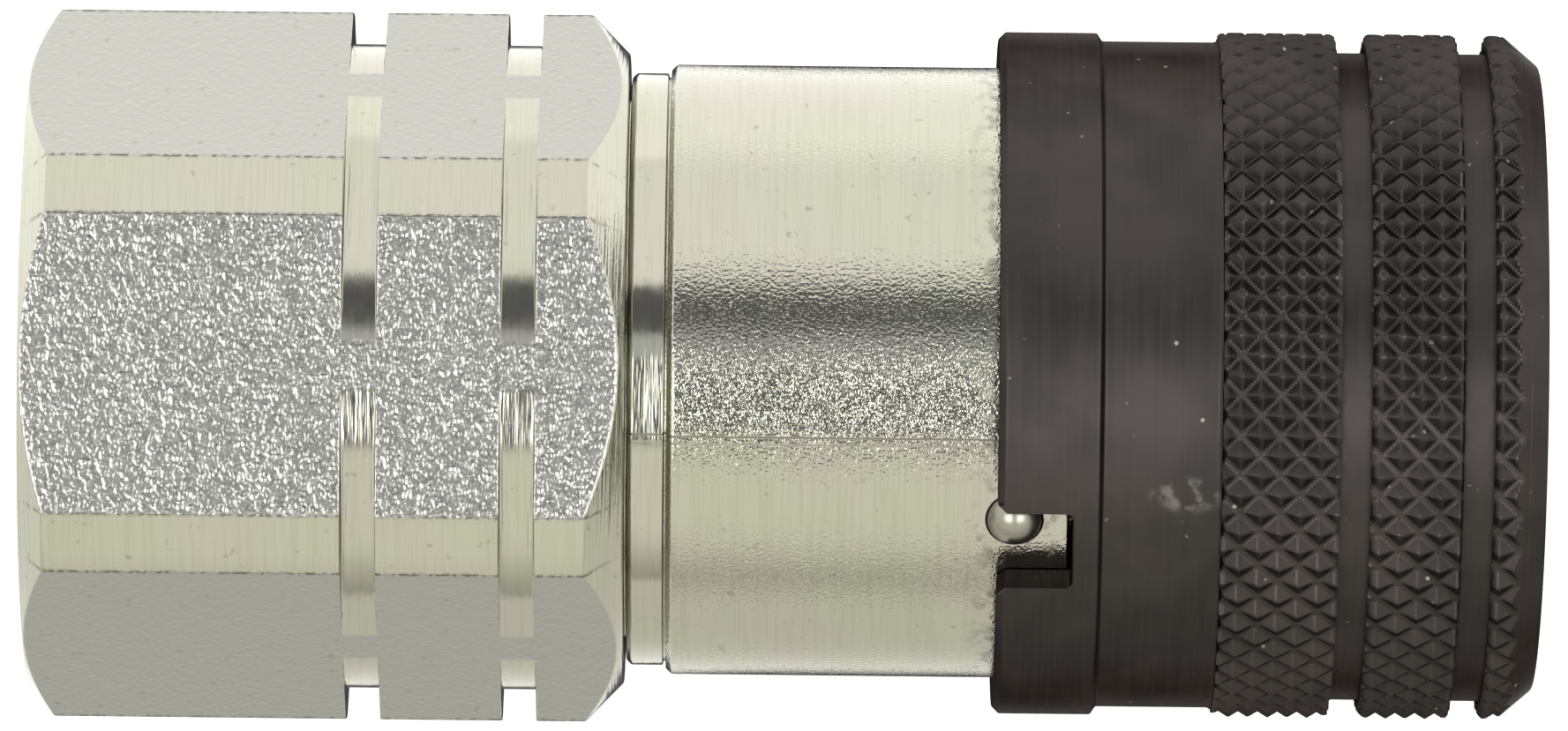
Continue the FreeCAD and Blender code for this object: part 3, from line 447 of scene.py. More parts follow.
    # Rounded pebbles, 0.4 to 0.5 mm across on the etched skin and 0.2 mm on turned steel.
    coarse = node(tree, "TexNoise", {"Vector": place, "Scale": 1000 / 0.5, "Detail": 1})
    domes = {"Vector": place, "Scale": 1000 / 0.4, "Smoothness": 0.5}
    domes = node(tree, "TexVoronoi", domes, feature="SMOOTH_F1")
    coarse = node(tree, "Math", [domes, -0.42, coarse], operation="MULTIPLY_ADD")
    share = node(tree, "Math", [etched, skin_peel], operation="MULTIPLY")
    height = node(tree, "Math", [coarse, share, height], operation="MULTIPLY_ADD")
    small = node(tree, "TexNoise", {"Vector": place, "Scale": 1000 / 0.22, "Detail": 1})
    plain = node(tree, "Math", [bare, smooth], operation="SUBTRACT", use_clamp=True)
    share = node(tree, "Math", [plain, peel], operation="MULTIPLY")
    height = node(tree, "Math", [small, share, height], operation="MULTIPLY_ADD")
    bump = node(tree, "Bump", {"Strength": 1, "Distance": 0.001, "Height": height})
    tree.links.new(bump, shader.inputs["Normal"])
    rough = node(tree, "MapRange", [fine, 0.3, 0.7, roughness * 0.8, roughness * 1.3])
    rough = node(tree, "Math", [dirt_and_darkening, 0.4, rough], operation="MULTIPLY_ADD")
    rough = node(tree, "Math", [etched, 0.08, rough], operation="MULTIPLY_ADD")
    tree.links.new(rough, shader.inputs["Roughness"])
    shader.inputs["Metallic"].default_value = 1.0
    return material


hex_body.data.materials.append(
    zinc_plate("zinc_plate_hexagon", 0.03, 0.35, 0.13, peel=0.008, skin_peel=0.062)
)

# ---------------------------------------------------------------- rear adapter, port
# The same piece's O-ring port: a faced cone for the O-ring, then a 1-1/16-12 UN thread cut as a
# helix, and a plain drilled passage behind it. It is drawn apart from the hexagon round it.

PITCH = 25.4 / 12
CREST = 12.45
ROOT = 13.45
THREAD_START = 4.62
THREAD_END = 21.2
SEAL_SEAT_END = 3.3
SEAL_SEAT = 13.766
PORT_FLOOR = 22.0
PASSAGE = 11.5
PORT_COLUMNS = 192
ROWS_PER_TURN = 16
HALF_OPEN = 0.375
HALF_ROOT = 0.0625
FADE_IN = 0.6
FADE_OUT = 1.6


def straight_runs(points, columns):
    """Rows of straight runs between corners (x, radius), with close rows at each corner."""
    shares = np.array([0, 0.02, 0.5, 0.98, 1.0])[:, None]
    points = np.array(points, float)
    rows = (points[:-1, None] + (points[1:] - points[:-1])[:, None] * shares[None]).reshape(-1, 2)
    return rows[:, :1] * np.ones(columns), rows[:, 1:] * np.ones(columns)


# Each row follows the helix: x = start + (row / rows per turn + turn - 1) pitch. The groove is 3/4
# of the pitch wide at the crests and 1/8 at its root, and fades in and out at the thread's ends.
turn = np.arange(PORT_COLUMNS + 1) / PORT_COLUMNS
turns = (THREAD_END - THREAD_START) / PITCH
row = np.arange(int((turns + 1) * ROWS_PER_TURN) + 2)[:, None] / ROWS_PER_TURN
thread_x = THREAD_START + (row + turn - 1) * PITCH
depth = np.clip((HALF_OPEN - np.abs(row % 1 - 0.5)) / (HALF_OPEN - HALF_ROOT), 0, 1)
fade = np.clip((thread_x - THREAD_START) / FADE_IN, 0, 1)
fade = fade * np.clip((THREAD_END - thread_x) / FADE_OUT, 0, 1)
thread_radius = CREST + (ROOT - CREST) * depth * fade
thread_x = np.clip(thread_x, THREAD_START, THREAD_END)
# The port's outside lies just inside the bore of the hexagon piece.
SKIN = MOUTH - 0.005
front = straight_runs([(0, SKIN), (SEAL_SEAT_END, SEAL_SEAT), (THREAD_START, CREST)], PORT_COLUMNS + 1)
back = [(THREAD_END, CREST), (PORT_FLOOR, CREST), (PORT_FLOOR, PASSAGE), (CAVITY_AT, PASSAGE)]
back = straight_runs(back + [(CAVITY_AT, SKIN)], PORT_COLUMNS + 1)
x = np.vstack([front[0], thread_x, back[0]])
radius = np.vstack([front[1], thread_radius, back[1]])
port = make_piece(
    "port_thread",
    [(lathe(x, radius, turn * 2 * np.pi), grid_faces(*x.shape, close_columns=False))],
    "coupler_body",
    crease=20,
)
port.data.materials.append(zinc_plate("zinc_plate_port", 0.004, 0.35, 0.22))

# ---------------------------------------------------------------- front body
# One turned piece, zinc-plated like the adapter: neck, bearing for the sleeve with a blind hole
# for the lock ball, and a thinner front with twelve ball holes and seal grooves in its bore.

BODY_COLUMNS = 360
BODY_START, BODY_END, BODY = extent("front_body")
NECK = 20.725
NECK_END = 44.28
BODY_RIM = 44.5
FRONT = 18.8
SPRING_SEAT = 72.194
BORE = 15.05
THREAD_GAP = 0.01
GUIDE = (57.5, 62.5)
GUIDE_BORE = 12.05
GUIDE_SEAL = (58.4, 61.6)
GUIDE_SEAL_FLOOR = 14.49
NOSE_SEAL = (82.0, 85.6)
NOSE_SEAL_FLOOR = 17.3
RING_GROOVE = (102.35, 103.55)
RING_FLOOR = 18.1
BALL_RADIUS = 2.5
BALL_AT = extent("locking_ball_01")[0] + BALL_RADIUS
BALL_HOLE = 2.55
BALL_RIM = 2.2042
RIM_TOP = 15.9
BALL_ANGLES = np.radians(90 - np.arange(12) * 30.0)
LOCK_AT = sum(extent("lock_ball")[:2]) / 2
LOCK_ANGLE = math.radians(-28.2)
LOCK_HOLE = 2.02
LOCK_FLOOR = 18.65
WINDOW = 6.4
WINDOW_STEPS = 20
body_angle = np.radians(np.arange(BODY_COLUMNS) * 360 / BODY_COLUMNS)


def body_rows(corners):
    """A block: an open half section turned about X on the body's columns."""
    x, radius = rounded(corners, closed=False)
    return lathe(x, radius, body_angle), grid_faces(len(x), BODY_COLUMNS, close_rows=False)


def pierced_band(at, radius, angles, hole):
    """Blocks: a band of wall round x = at with a round hole at each angle, and each hole's turns.

    The band leaves a square window, WINDOW mm long and WINDOW_STEPS columns wide, round each
    hole. Rings (1-s) square + s circle, measured along X and round the wall, fill it.
    """
    x = (at + WINDOW * (np.arange(WINDOW_STEPS + 1) / WINDOW_STEPS - 0.5))[:, None]
    faces = grid_faces(WINDOW_STEPS + 1, BODY_COLUMNS, close_rows=False)
    column = faces[:, 0] % BODY_COLUMNS
    blocks, windows, turns = [], [], []
    side = np.arange(WINDOW_STEPS) / WINDOW_STEPS
    one, none = np.ones(WINDOW_STEPS), np.zeros(WINDOW_STEPS)
    for centre in angles:
        first = round(math.degrees(centre) - WINDOW_STEPS / 2)
        windows += [(first + k) % BODY_COLUMNS for k in range(WINDOW_STEPS)]
        square_x = (np.concatenate([side, one, 1 - side, none]) - 0.5) * WINDOW
        square_arc = np.radians(first + np.concatenate([none, side, one, 1 - side]) * WINDOW_STEPS)
        square_arc = square_arc - centre
        turn = np.arctan2(np.sin(square_arc) * radius, square_x)
        share = np.linspace(0, 1, 5)[:, None]
        ring_x = (1 - share) * square_x + share * hole * np.cos(turn)
        ring_arc = (1 - share) * square_arc + share * np.arcsin(hole * np.sin(turn) / radius)
        block = lathe(at + ring_x, radius, centre + ring_arc)
        blocks.append((block, grid_faces(len(share), len(turn), close_rows=False)))
        turns.append(turn)
    blocks.append((lathe(x, radius, body_angle), faces[~np.isin(column, windows)]))
    return blocks, turns


def hole_wall(at, angle, turn, rings):
    """A block: the wall of a round hole through rings of (hole radius, height, cylinder).

    A ring's point is height out along the hole's own line, and hole radius away from that line
    at each turn. A height of None puts the point on a cylinder: sqrt(cylinder^2 - across^2).
    """
    rows = []
    for hole, height, cylinder in rings:
        across = hole * np.sin(turn)
        out = np.sqrt(cylinder**2 - across**2) if height is None else height + 0 * turn
        y = out * math.sin(angle) + across * math.cos(angle)
        z = out * math.cos(angle) - across * math.sin(angle)
        rows.append(np.stack([at + hole * np.cos(turn) - FACE, y, z], axis=-1) * 0.001)
    return np.array(rows), grid_faces(len(rows), len(turn), close_rows=False)


lock_blocks, lock_turns = pierced_band(LOCK_AT, BODY, [LOCK_ANGLE], LOCK_HOLE)
outer_blocks, outer_turns = pierced_band(BALL_AT, FRONT, BALL_ANGLES, BALL_HOLE)
inner_blocks, inner_turns = pierced_band(BALL_AT, BORE, BALL_ANGLES, BALL_RIM)
body_blocks = lock_blocks + outer_blocks + inner_blocks
floor_rings = [(LOCK_HOLE, None, BODY), (LOCK_HOLE, LOCK_FLOOR, 0), (LOCK_HOLE * 0.5, LOCK_FLOOR, 0)]
floor_rings.append((0.0, LOCK_FLOOR, 0))
body_blocks.append(hole_wall(LOCK_AT, LOCK_ANGLE, lock_turns[0], floor_rings))
for ball_angle, outer_turn, inner_turn in zip(BALL_ANGLES, outer_turns, inner_turns):
    body_blocks.append(
        hole_wall(BALL_AT, ball_angle, outer_turn, [(BALL_HOLE, None, FRONT), (BALL_HOLE, RIM_TOP, 0)])
    )
    rim = hole_wall(BALL_AT, ball_angle, inner_turn, [(BALL_HOLE, RIM_TOP, 0), (BALL_RIM, None, BORE)])
    body_blocks.append(rim)
body_blocks += [
    body_rows(
        [
            (LOCK_AT + WINDOW / 2, BODY, 0),
            (SPRING_SEAT, BODY, 0.1),
            (SPRING_SEAT, FRONT, 0.1),
            (BALL_AT - WINDOW / 2, FRONT, 0),
        ]
    ),
    body_rows(
        [
            (BALL_AT + WINDOW / 2, FRONT, 0),
            (RING_GROOVE[0], FRONT, 0.05),
            (RING_GROOVE[0], RING_FLOOR, 0.05),
            (RING_GROOVE[1], RING_FLOOR, 0.05),
            (RING_GROOVE[1], FRONT, 0.05),
            (BODY_END - 0.4, FRONT, 0.05),
            (BODY_END, FRONT - 0.4, 0.05),
            (BODY_END, BORE + 0.7, 0.05),
            (BODY_END - 0.7, BORE, 0.05),
            (BALL_AT + WINDOW / 2, BORE, 0),
        ]
    ),
    body_rows(
        [
            (BALL_AT - WINDOW / 2, BORE, 0),
            (NOSE_SEAL[1], BORE, 0.05),
            (NOSE_SEAL[1], NOSE_SEAL_FLOOR, 0.05),
            (NOSE_SEAL[0], NOSE_SEAL_FLOOR, 0.05),
            (NOSE_SEAL[0], BORE, 0.05),
            (GUIDE[1], BORE, 0.05),
            (GUIDE[1], GUIDE_BORE, 0.05),
            (GUIDE_SEAL[1], GUIDE_BORE, 0.05),
            (GUIDE_SEAL[1], GUIDE_SEAL_FLOOR, 0.05),
            (GUIDE_SEAL[0], GUIDE_SEAL_FLOOR, 0.05),
            (GUIDE_SEAL[0], GUIDE_BORE, 0.05),
            (GUIDE[0], GUIDE_BORE, 0.05),
            (GUIDE[0], CAVITY, 0.05),
            (ADAPTER_END, CAVITY, 0.05),
            (ADAPTER_END, SPIGOT + THREAD_GAP, 0.05),
            (SHOULDER_END, SPIGOT + THREAD_GAP, 0.05),
            (SHOULDER_END, SHOULDER + THREAD_GAP, 0.05),
            (BODY_START, SHOULDER + THREAD_GAP, 0.05),
            (BODY_START, NECK - 0.35, 0.1),
            (BODY_START + 0.35, NECK, 0.1),
            (NECK_END, NECK, 0.05),
            (NECK_END + 0.08, NECK - 0.3, 0.04),
            (BODY_RIM, NECK - 0.3, 0.04),
            (BODY_RIM, BODY - 0.4, 0.06),
            (BODY_RIM + 0.4, BODY, 0.14),
            (LOCK_AT - WINDOW / 2, BODY, 0),
        ]
    ),
]
SLEEVE_REAR = extent("locking_sleeve")[0]
body_points = np.vstack([block.reshape(-1, 3) for block, _ in body_blocks])
front_body = make_piece(
    "front_body_turned",
    body_blocks,
    "coupler_body",
    ["front_body"],
    marks={"smooth": (body_points[:, 0] < (BODY_RIM - 0.05 - FACE) / 1000).astype(float)},
)
front_body.data.materials.append(
    zinc_plate("zinc_plate_body", 0.003, 0.35, 0.11, peel=0.035, darkening_edge_at=(SLEEVE_REAR - FACE) / 1000)
)

# ---------------------------------------------------------------- locking sleeve
# Turned steel with a black-brown manganese phosphate coat: collar with the notch for the lock
# ball, waist, three grip bands and a tapered nose. The diamond knurl is rolled into the bands.

NOTCH_ANGLE = math.radians(-31.1)
NOTCH_HALF = 3.0
NOTCH_DEPTH = 5.2
NOTCH_FLARE = 0.6
SLEEVE_END, GRIP = extent("locking_sleeve")[1:]
COLLAR = 23.87
COLLAR_END = 74.2
WAIST = 23.3
WAIST_END = 82.4
GRIP_GROOVE = 22.65
UNDER_KNURL = 22.9
GRIP_BANDS = ((82.65, 90.75), (92.85, 99.2), (101.3, 103.75))
NOSE_START = 102.5
NOSE = 21.85
NOSE_SLOPE = (GRIP - NOSE) / (SLEEVE_END - NOSE_START)
MOUTH_BORE = 20.0
RING_ROOM = (97.1, 98.3)
BEARING = 21.45
NARROW = 18.94
SPRING_ROOM_END = extent("spring_washer")[1]
BALL_RAMP = (88.194, 92.194)
BALL_ROOM = 20.54

# Columns are placed by their distance in mm from the notch's middle, measured at MID_WALL, and
# stand close where the notch's wall and its rounded corner are.
MID_WALL = 23.0
NEAR_NOTCH = 7.8
NOTCH_ROUND = 0.5
across = np.array([0, 0.5, 1, 1.5, 2, 2.35, 2.5, 2.65, 2.8, 2.9, 2.96, 2.99, 3.0, 3.1, 3.25, 3.4])
across = np.concatenate([across, [3.55, 3.6, 3.65, 3.8, 4.2, 4.8, 5.6, 6.6, NEAR_NOTCH]])
across = np.concatenate([-across[:0:-1], across])
edge_angle = NEAR_NOTCH / MID_WALL
rest_angle = np.linspace(edge_angle, 2 * np.pi - edge_angle, 324)[1:-1]
across = np.concatenate([across, rest_angle * MID_WALL])
reach = np.abs(across)
past_round = np.clip(reach - (NOTCH_HALF - NOTCH_ROUND), 0, NOTCH_ROUND)
corner = np.sqrt(np.clip(NOTCH_ROUND**2 - past_round**2, 0, None)) - NOTCH_ROUND
in_notch = SLEEVE_REAR + NOTCH_DEPTH + corner
in_flare = SLEEVE_REAR + np.clip(NOTCH_HALF + NOTCH_FLARE - reach, 0, NOTCH_FLARE)
rear = np.where(reach < NOTCH_HALF - 0.001, in_notch, in_flare)
bevel = np.where(reach < NOTCH_HALF + NOTCH_FLARE, 0.08, 0.5)
sleeve_section = [
    (rear, BEARING + bevel / 2, 0.05),
    (rear, COLLAR - bevel, 0.08),
    (rear + bevel, COLLAR, 0.12),
    (COLLAR_END, COLLAR, 0.12),
    (COLLAR_END + 0.35, WAIST, 0.12),
    (WAIST_END, WAIST, 0.1),
    (WAIST_END + 0.2, WAIST + 0.15, 0.05),
    (WAIST_END + 0.3, UNDER_KNURL, 0.02),
]
for start, end in zip(GRIP_BANDS, GRIP_BANDS[1:]):
    sleeve_section += [
        (start[1] - 0.1, UNDER_KNURL, 0.02),
        (start[1] - 0.1, GRIP_GROOVE, 0.05),
        (end[0] + 0.1, GRIP_GROOVE, 0.05),
        (end[0] + 0.1, UNDER_KNURL, 0.02),
    ]
sleeve_section += [
    (NOSE_START + (GRIP - UNDER_KNURL) / NOSE_SLOPE, UNDER_KNURL, 0.05),
    (SLEEVE_END, NOSE, 0.15),
    (SLEEVE_END, MOUTH_BORE + 0.5, 0.1),
    (SLEEVE_END - 0.5, MOUTH_BORE, 0.1),
    (RING_ROOM[1], MOUTH_BORE, 0.05),
    (RING_ROOM[1], NARROW, 0.1),
    (RING_ROOM[0], NARROW, 0.1),
    (RING_ROOM[0], BALL_ROOM, 0.05),
    (BALL_RAMP[1], BALL_ROOM, 0.1),
    (BALL_RAMP[0], NARROW, 0.1),
    (SPRING_ROOM_END, NARROW, 0.05),
    (SPRING_ROOM_END, BEARING, 0.05),
    (rear + bevel / 2, BEARING, 0.05),
]
x, radius = rounded(sleeve_section)
# Near the notch the columns keep their distance s across it, so its walls are parallel:
# angle = notch + (1-w) s / mid wall + w asin(s / r), where w is 1 up to 4 mm and 0 from 7.5 mm.
PARALLEL = (4.0, 7.5)
weight = np.clip((PARALLEL[1] - reach) / (PARALLEL[1] - PARALLEL[0]), 0, 1)
weight = weight**2 * (3 - 2 * weight)
spread = np.arcsin(np.clip(across, -NEAR_NOTCH, NEAR_NOTCH) / radius)
angle = NOTCH_ANGLE + (1 - weight) * across / MID_WALL + weight * spread
sleeve_body = make_piece(
    "sleeve_body",
    [(lathe(x, radius, angle), grid_faces(*x.shape))],
    "sleeve",
    ["locking_sleeve"],
)

KNURL_AXIAL = 2.75
KNURL_COUNT = 53
KNURL_SAMPLES = 16
KNURL_DEPTH = 0.70
KNURL_SPACING = 1.95


def knurled_band(name, start, end):
    """A grip band with a rolled 45 degree diamond knurl.

    With p = x / axial pitch and q = turns times the count, the V grooves run where p + q and
    p - q are whole numbers. The height is the distance to the nearer groove less half the
    groove's floor, on a slope that reaches the full depth in half the spacing, cut off at the
    tip's flat. Tips are blunter and grooves narrower towards +Y, where the wheel pressed less.
    """
    inner = UNDER_KNURL - 0.1
    columns = KNURL_COUNT * KNURL_SAMPLES
    rows = max(int(round((end - start) / KNURL_AXIAL * KNURL_SAMPLES)), 4)
    x = start + (end - start) * np.arange(rows + 1)[:, None] / rows
    turns = np.arange(columns)[None, :] / columns
    p = x / KNURL_AXIAL
    q = turns * KNURL_COUNT
    rise, fall = p + q, p - q
    upper = 0.5 + 0.5 * np.clip(np.sin(turns * 2 * np.pi) * 2.2 - 0.25, -1, 1)
    floor_rise = 0.20 - 0.15 * upper
    floor_fall = 0.12 - 0.08 * upper
    tip_flat = 0.16 + 0.26 * upper
    to_rise = np.abs(rise - np.round(rise)) * KNURL_SPACING - floor_rise
    to_fall = np.abs(fall - np.round(fall)) * KNURL_SPACING - floor_fall
    height = np.clip(np.minimum(to_rise, to_fall), 0, KNURL_SPACING / 2 - tip_flat)
    height = height / (KNURL_SPACING / 2 - tip_flat)
    bevel = np.clip(1 - np.minimum(x - start, end - x) / 0.25, 0, 1) * 0.2
    radius = GRIP - KNURL_DEPTH + KNURL_DEPTH * height - bevel
    radius = np.minimum(radius, GRIP - np.clip(x - NOSE_START, 0, None) * NOSE_SLOPE)
    x = np.vstack([x[:1], x, x[-1:]])
    radius = np.vstack([radius[:1] * 0 + inner, radius, radius[:1] * 0 + inner])
    points = lathe(x, radius, turns * 2 * np.pi)
    return make_piece(
        name, [(points, grid_faces(len(x), columns))], "sleeve", crease=5
    )


# Oiled manganese phosphate: a fine dark crystal coat, matt black-brown, with the turning lines of
# the steel still in it.
phosphate = bpy.data.materials.new("manganese_phosphate")
phosphate.use_nodes = True
tree = phosphate.node_tree
shader = tree.nodes["Principled BSDF"]
place = tree.nodes.new("ShaderNodeTexCoord").outputs["Object"]
lines = node(tree, "TexNoise", {"Vector": turning(tree, place, 0.28, 16), "Scale": 1, "Detail": 3})
clouds = node(tree, "TexNoise", {"Vector": place, "Scale": 1000 / 6, "Detail": 3})
clouds = node(tree, "MapRange", [clouds, 0.35, 0.65, 0, 1], **SMOOTH)
coat = node(tree, "Mix", {0: clouds, 6: linear("363332"), 7: linear("3E3A39")}, 2, data_type="RGBA")
streak = node(tree, "MapRange", [lines, 0.35, 0.7, 0, 0.2], **SMOOTH)
coat = node(tree, "Mix", {0: streak, 6: coat, 7: linear("464241")}, 2, data_type="RGBA")
# Lint and dust, in specks of 0.1 mm and at most one in 1.3 mm.
dust = node(tree, "TexVoronoi", {"Vector": place, "Scale": 1000 / 1.3}, feature="F1")
dust = node(tree, "MapRange", [dust, 0.16, 0.08, 0, 1])
rare = node(tree, "TexNoise", {"Vector": place, "Scale": 1000 / 1.4, "Detail": 1})
rare = node(tree, "MapRange", [rare, 0.60, 0.68, 0, 0.8])
dust = node(tree, "Math", [dust, rare], operation="MULTIPLY")
coat = node(tree, "Mix", {0: dust, 6: coat, 7: linear("A09C94")}, 2, data_type="RGBA")
# A pale rub mark, about 4 mm long, on the waist.
RUB_MARK = (-0.0234, -0.0083, 0.0218)
rub = node(tree, "VectorMath", [place, RUB_MARK], operation="SUBTRACT")
rub = node(tree, "VectorMath", [rub, (1.0, 1.9, 1.9)], operation="MULTIPLY")
rub = node(tree, "VectorMath", [rub], 1, operation="LENGTH")
rub = node(tree, "MapRange", [rub, 0.0030, 0.0012, 0, 1], **SMOOTH)
patchy = node(tree, "TexNoise", {"Vector": place, "Scale": 1000 / 1.2, "Detail": 4})
patchy = node(tree, "MapRange", [patchy, 0.46, 0.62, 0, 0.55], **SMOOTH)
rub = node(tree, "Math", [rub, patchy], operation="MULTIPLY")
coat = node(tree, "Mix", {0: rub, 6: coat, 7: linear("7C7876")}, 2, data_type="RGBA")
tree.links.new(coat, shader.inputs["Base Color"])
rough = node(tree, "MapRange", [lines, 0.3, 0.7, 0.39, 0.45])
tree.links.new(rough, shader.inputs["Roughness"])
bump = node(tree, "Math", [lines, 0.004], operation="MULTIPLY")
bump = node(tree, "Bump", {"Strength": 1, "Distance": 0.001, "Height": bump})
tree.links.new(bump, shader.inputs["Normal"])
shader.inputs["Metallic"].default_value = 1.0
shader.inputs["Specular Tint"].default_value = (0.35, 0.34, 0.34, 1)
sleeve_body.data.materials.append(phosphate)
for number, (start, end) in enumerate(GRIP_BANDS, 1):
    knurled_band(f"knurled_band_{number}", start, end).data.materials.append(phosphate)

# ---------------------------------------------------------------- sleeve spring, washer, snap ring
# Under the sleeve a coil spring pushes it back against a washer, and a round-ended snap ring of
# spring steel in the front body's groove keeps the sleeve on.

STEPS_PER_TURN = 60
WIRE_COLUMNS = 16


def coil(name, start, end, mean, wire, turns, body, replaced):
    """A round wire wound on a helix: centre (x0 + length f(t), mean radius, turns t).

    f(t) = t - 0.8 sin(2 pi t) / (2 pi) closes the pitch up at both ends, and the wire's
    section is a circle in the plane of the axis and the radius.
    """
    steps = int(turns * STEPS_PER_TURN)
    t = np.arange(steps + 1)[:, None] / steps
    f = t - 0.8 * np.sin(2 * np.pi * t) / (2 * np.pi)
    centre = start + wire / 2 + (end - start - wire) * f
    around = np.arange(WIRE_COLUMNS) * 2 * np.pi / WIRE_COLUMNS
    x = centre + wire / 2 * np.cos(around)
    radius = mean + wire / 2 * np.sin(around)
    points = lathe(x, radius, t * turns * 2 * np.pi)
    caps = [(points[i], [list(range(WIRE_COLUMNS))]) for i in (0, -1)]
    blocks = [(points, grid_faces(steps + 1, WIRE_COLUMNS, close_rows=False))] + caps
    return make_piece(name, blocks, body, replaced)


def plain_metal(name, colour, roughness, line_depth=0.0):
    """Bare steel: bright or oiled, with turning lines of line_depth mm where it was turned."""
    material = bpy.data.materials.new(name)
    material.use_nodes = True
    tree = material.node_tree
    shader = tree.nodes["Principled BSDF"]
    place = tree.nodes.new("ShaderNodeTexCoord").outputs["Object"]
    clouds = node(tree, "TexNoise", {"Vector": place, "Scale": 1000 / 1.4, "Detail": 3})
    shade = node(tree, "MapRange", [clouds, 0.35, 0.7, 0, 0.25], **SMOOTH)
    dull = tuple(c * 0.72 for c in linear(colour)[:3]) + (1.0,)
    base = node(tree, "Mix", {0: shade, 6: linear(colour), 7: dull}, 2, data_type="RGBA")
    tree.links.new(base, shader.inputs["Base Color"])
    rough = node(tree, "MapRange", [clouds, 0.3, 0.7, roughness * 0.8, roughness * 1.25])
    tree.links.new(rough, shader.inputs["Roughness"])
    if line_depth:
        lines = node(tree, "TexNoise", {"Vector": turning(tree, place), "Scale": 1, "Detail": 3})
        lines = node(tree, "Math", [lines, line_depth], operation="MULTIPLY")
        bump = node(tree, "Bump", {"Strength": 1, "Distance": 0.001, "Height": lines})
        tree.links.new(bump, shader.inputs["Normal"])
    shader.inputs["Metallic"].default_value = 1.0
    return material


def coat_node(name, material):
    """Gives a CAD node one material on all its slots."""
    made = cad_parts[name]
    for place in made.material_slots:
        place.material = material
    if not made.material_slots:
        made.data.materials.append(material)


# Drawn spring wire, dark with oil, and bright turned steel.
spring_steel = plain_metal("oiled_spring_wire", "77746F", 0.3)
turned_steel = plain_metal("turned_steel", "C9C6BF", 0.2, 0.014)
SLEEVE_SPRING_GAP = 0.006
sleeve_spring = coil(
    "sleeve_coil",
    SPRING_SEAT + SLEEVE_SPRING_GAP,
    extent("spring_washer")[0] - SLEEVE_SPRING_GAP,
    mean=20.125,
    wire=1.8,
    turns=4,
    body="coupler_body",
    replaced=["sleeve_spring"],
)
sleeve_spring.data.materials.append(spring_steel)
coat_node("spring_washer", turned_steel)
RING_START, RING_END, RING = extent("sleeve_snap_ring")
RING_BORE = 18.11
RING_GAP = math.radians(14)
GAP_AT = math.radians(90)
ring_x, ring_radius = rounded(
    [
        (RING_START, RING_BORE, 0.1),
        (RING_START, RING, 0.25),
        (RING_END, RING, 0.25),
        (RING_END, RING_BORE, 0.1),
    ]
)
ring_angle = GAP_AT + RING_GAP / 2 + np.linspace(0, 2 * np.pi - RING_GAP, 240)
points = lathe(ring_x, ring_radius, ring_angle)
caps = [(points[:, i], [list(range(len(ring_x)))]) for i in (0, -1)]
snap_ring = make_piece(
    "snap_ring",
    [(points, grid_faces(*points.shape[:2], close_columns=False))] + caps,
    "coupler_body",
    ["sleeve_snap_ring"],
)
snap_ring.data.materials.append(spring_steel)

# ---------------------------------------------------------------- balls
# Ground and lapped bearing balls: twelve that lock the plug's groove, and a smaller one staked
# in the body, which stands in the sleeve's notch and keeps the sleeve from turning by chance.

bearing_steel = plain_metal("lapped_bearing_steel", "B4B2AC", 0.06)


def ball(name, cad_node, body, material):
    """A sphere in its CAD node's box: centre + R (cos b, sin b cos a, sin b sin a)."""
    low, high = (np.array(corner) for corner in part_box(cad_node))
    centre, size = (low + high) / 2, (high - low).max() / 2
    rows, columns = 37, 72
    b = np.linspace(0, np.pi, rows)[:, None]
    a = np.arange(columns) * 2 * np.pi / columns
    points = np.stack(
        np.broadcast_arrays(np.cos(b), np.sin(b) * np.cos(a), np.sin(b) * np.sin(a)), axis=-1
    )
    faces = grid_faces(rows, columns, close_rows=False)
    made = make_piece(name, [(centre + size * points, faces)], body, [cad_node])
    made.data.materials.append(material)


# The one in the notch is scuffed by the sleeve.
ball("sleeve_lock_ball", "lock_ball", "coupler_body", plain_metal("scuffed_ball_steel", "8E8B82", 0.3))
for number in range(1, 13):
    ball(f"race_ball_{number:02d}", f"locking_ball_{number:02d}", f"ball_{number:02d}", bearing_steel)

# ---------------------------------------------------------------- face shuttle
# Turned and ground steel ring that keeps the balls out while nothing is coupled. The plug pushes
# it back against its spring, which lies round the valve sleeve.

TURNED_COLUMNS = 240
SHUTTLE_START, SHUTTLE_END, SHUTTLE = extent("face_shuttle")
SHUTTLE_FACE = 14.532
SHUTTLE_TAPER = 98.04
SHUTTLE_BORE = 12.1
COUNTERBORE = 12.7
COUNTERBORE_AT = 99.55
POCKET = 13.9
POCKET_END = 92.0


def turned_piece(name, corners, body, replaced, closed=True, columns=TURNED_COLUMNS):
    """A solid turned about X from a half section, which starts and ends on the axis if open."""
    x, radius = rounded(corners, closed=closed)
    angle = np.arange(columns) * 2 * np.pi / columns
    blocks = [(lathe(x, radius, angle), grid_faces(len(x), columns, close_rows=closed))]
    return make_piece(name, blocks, body, replaced)


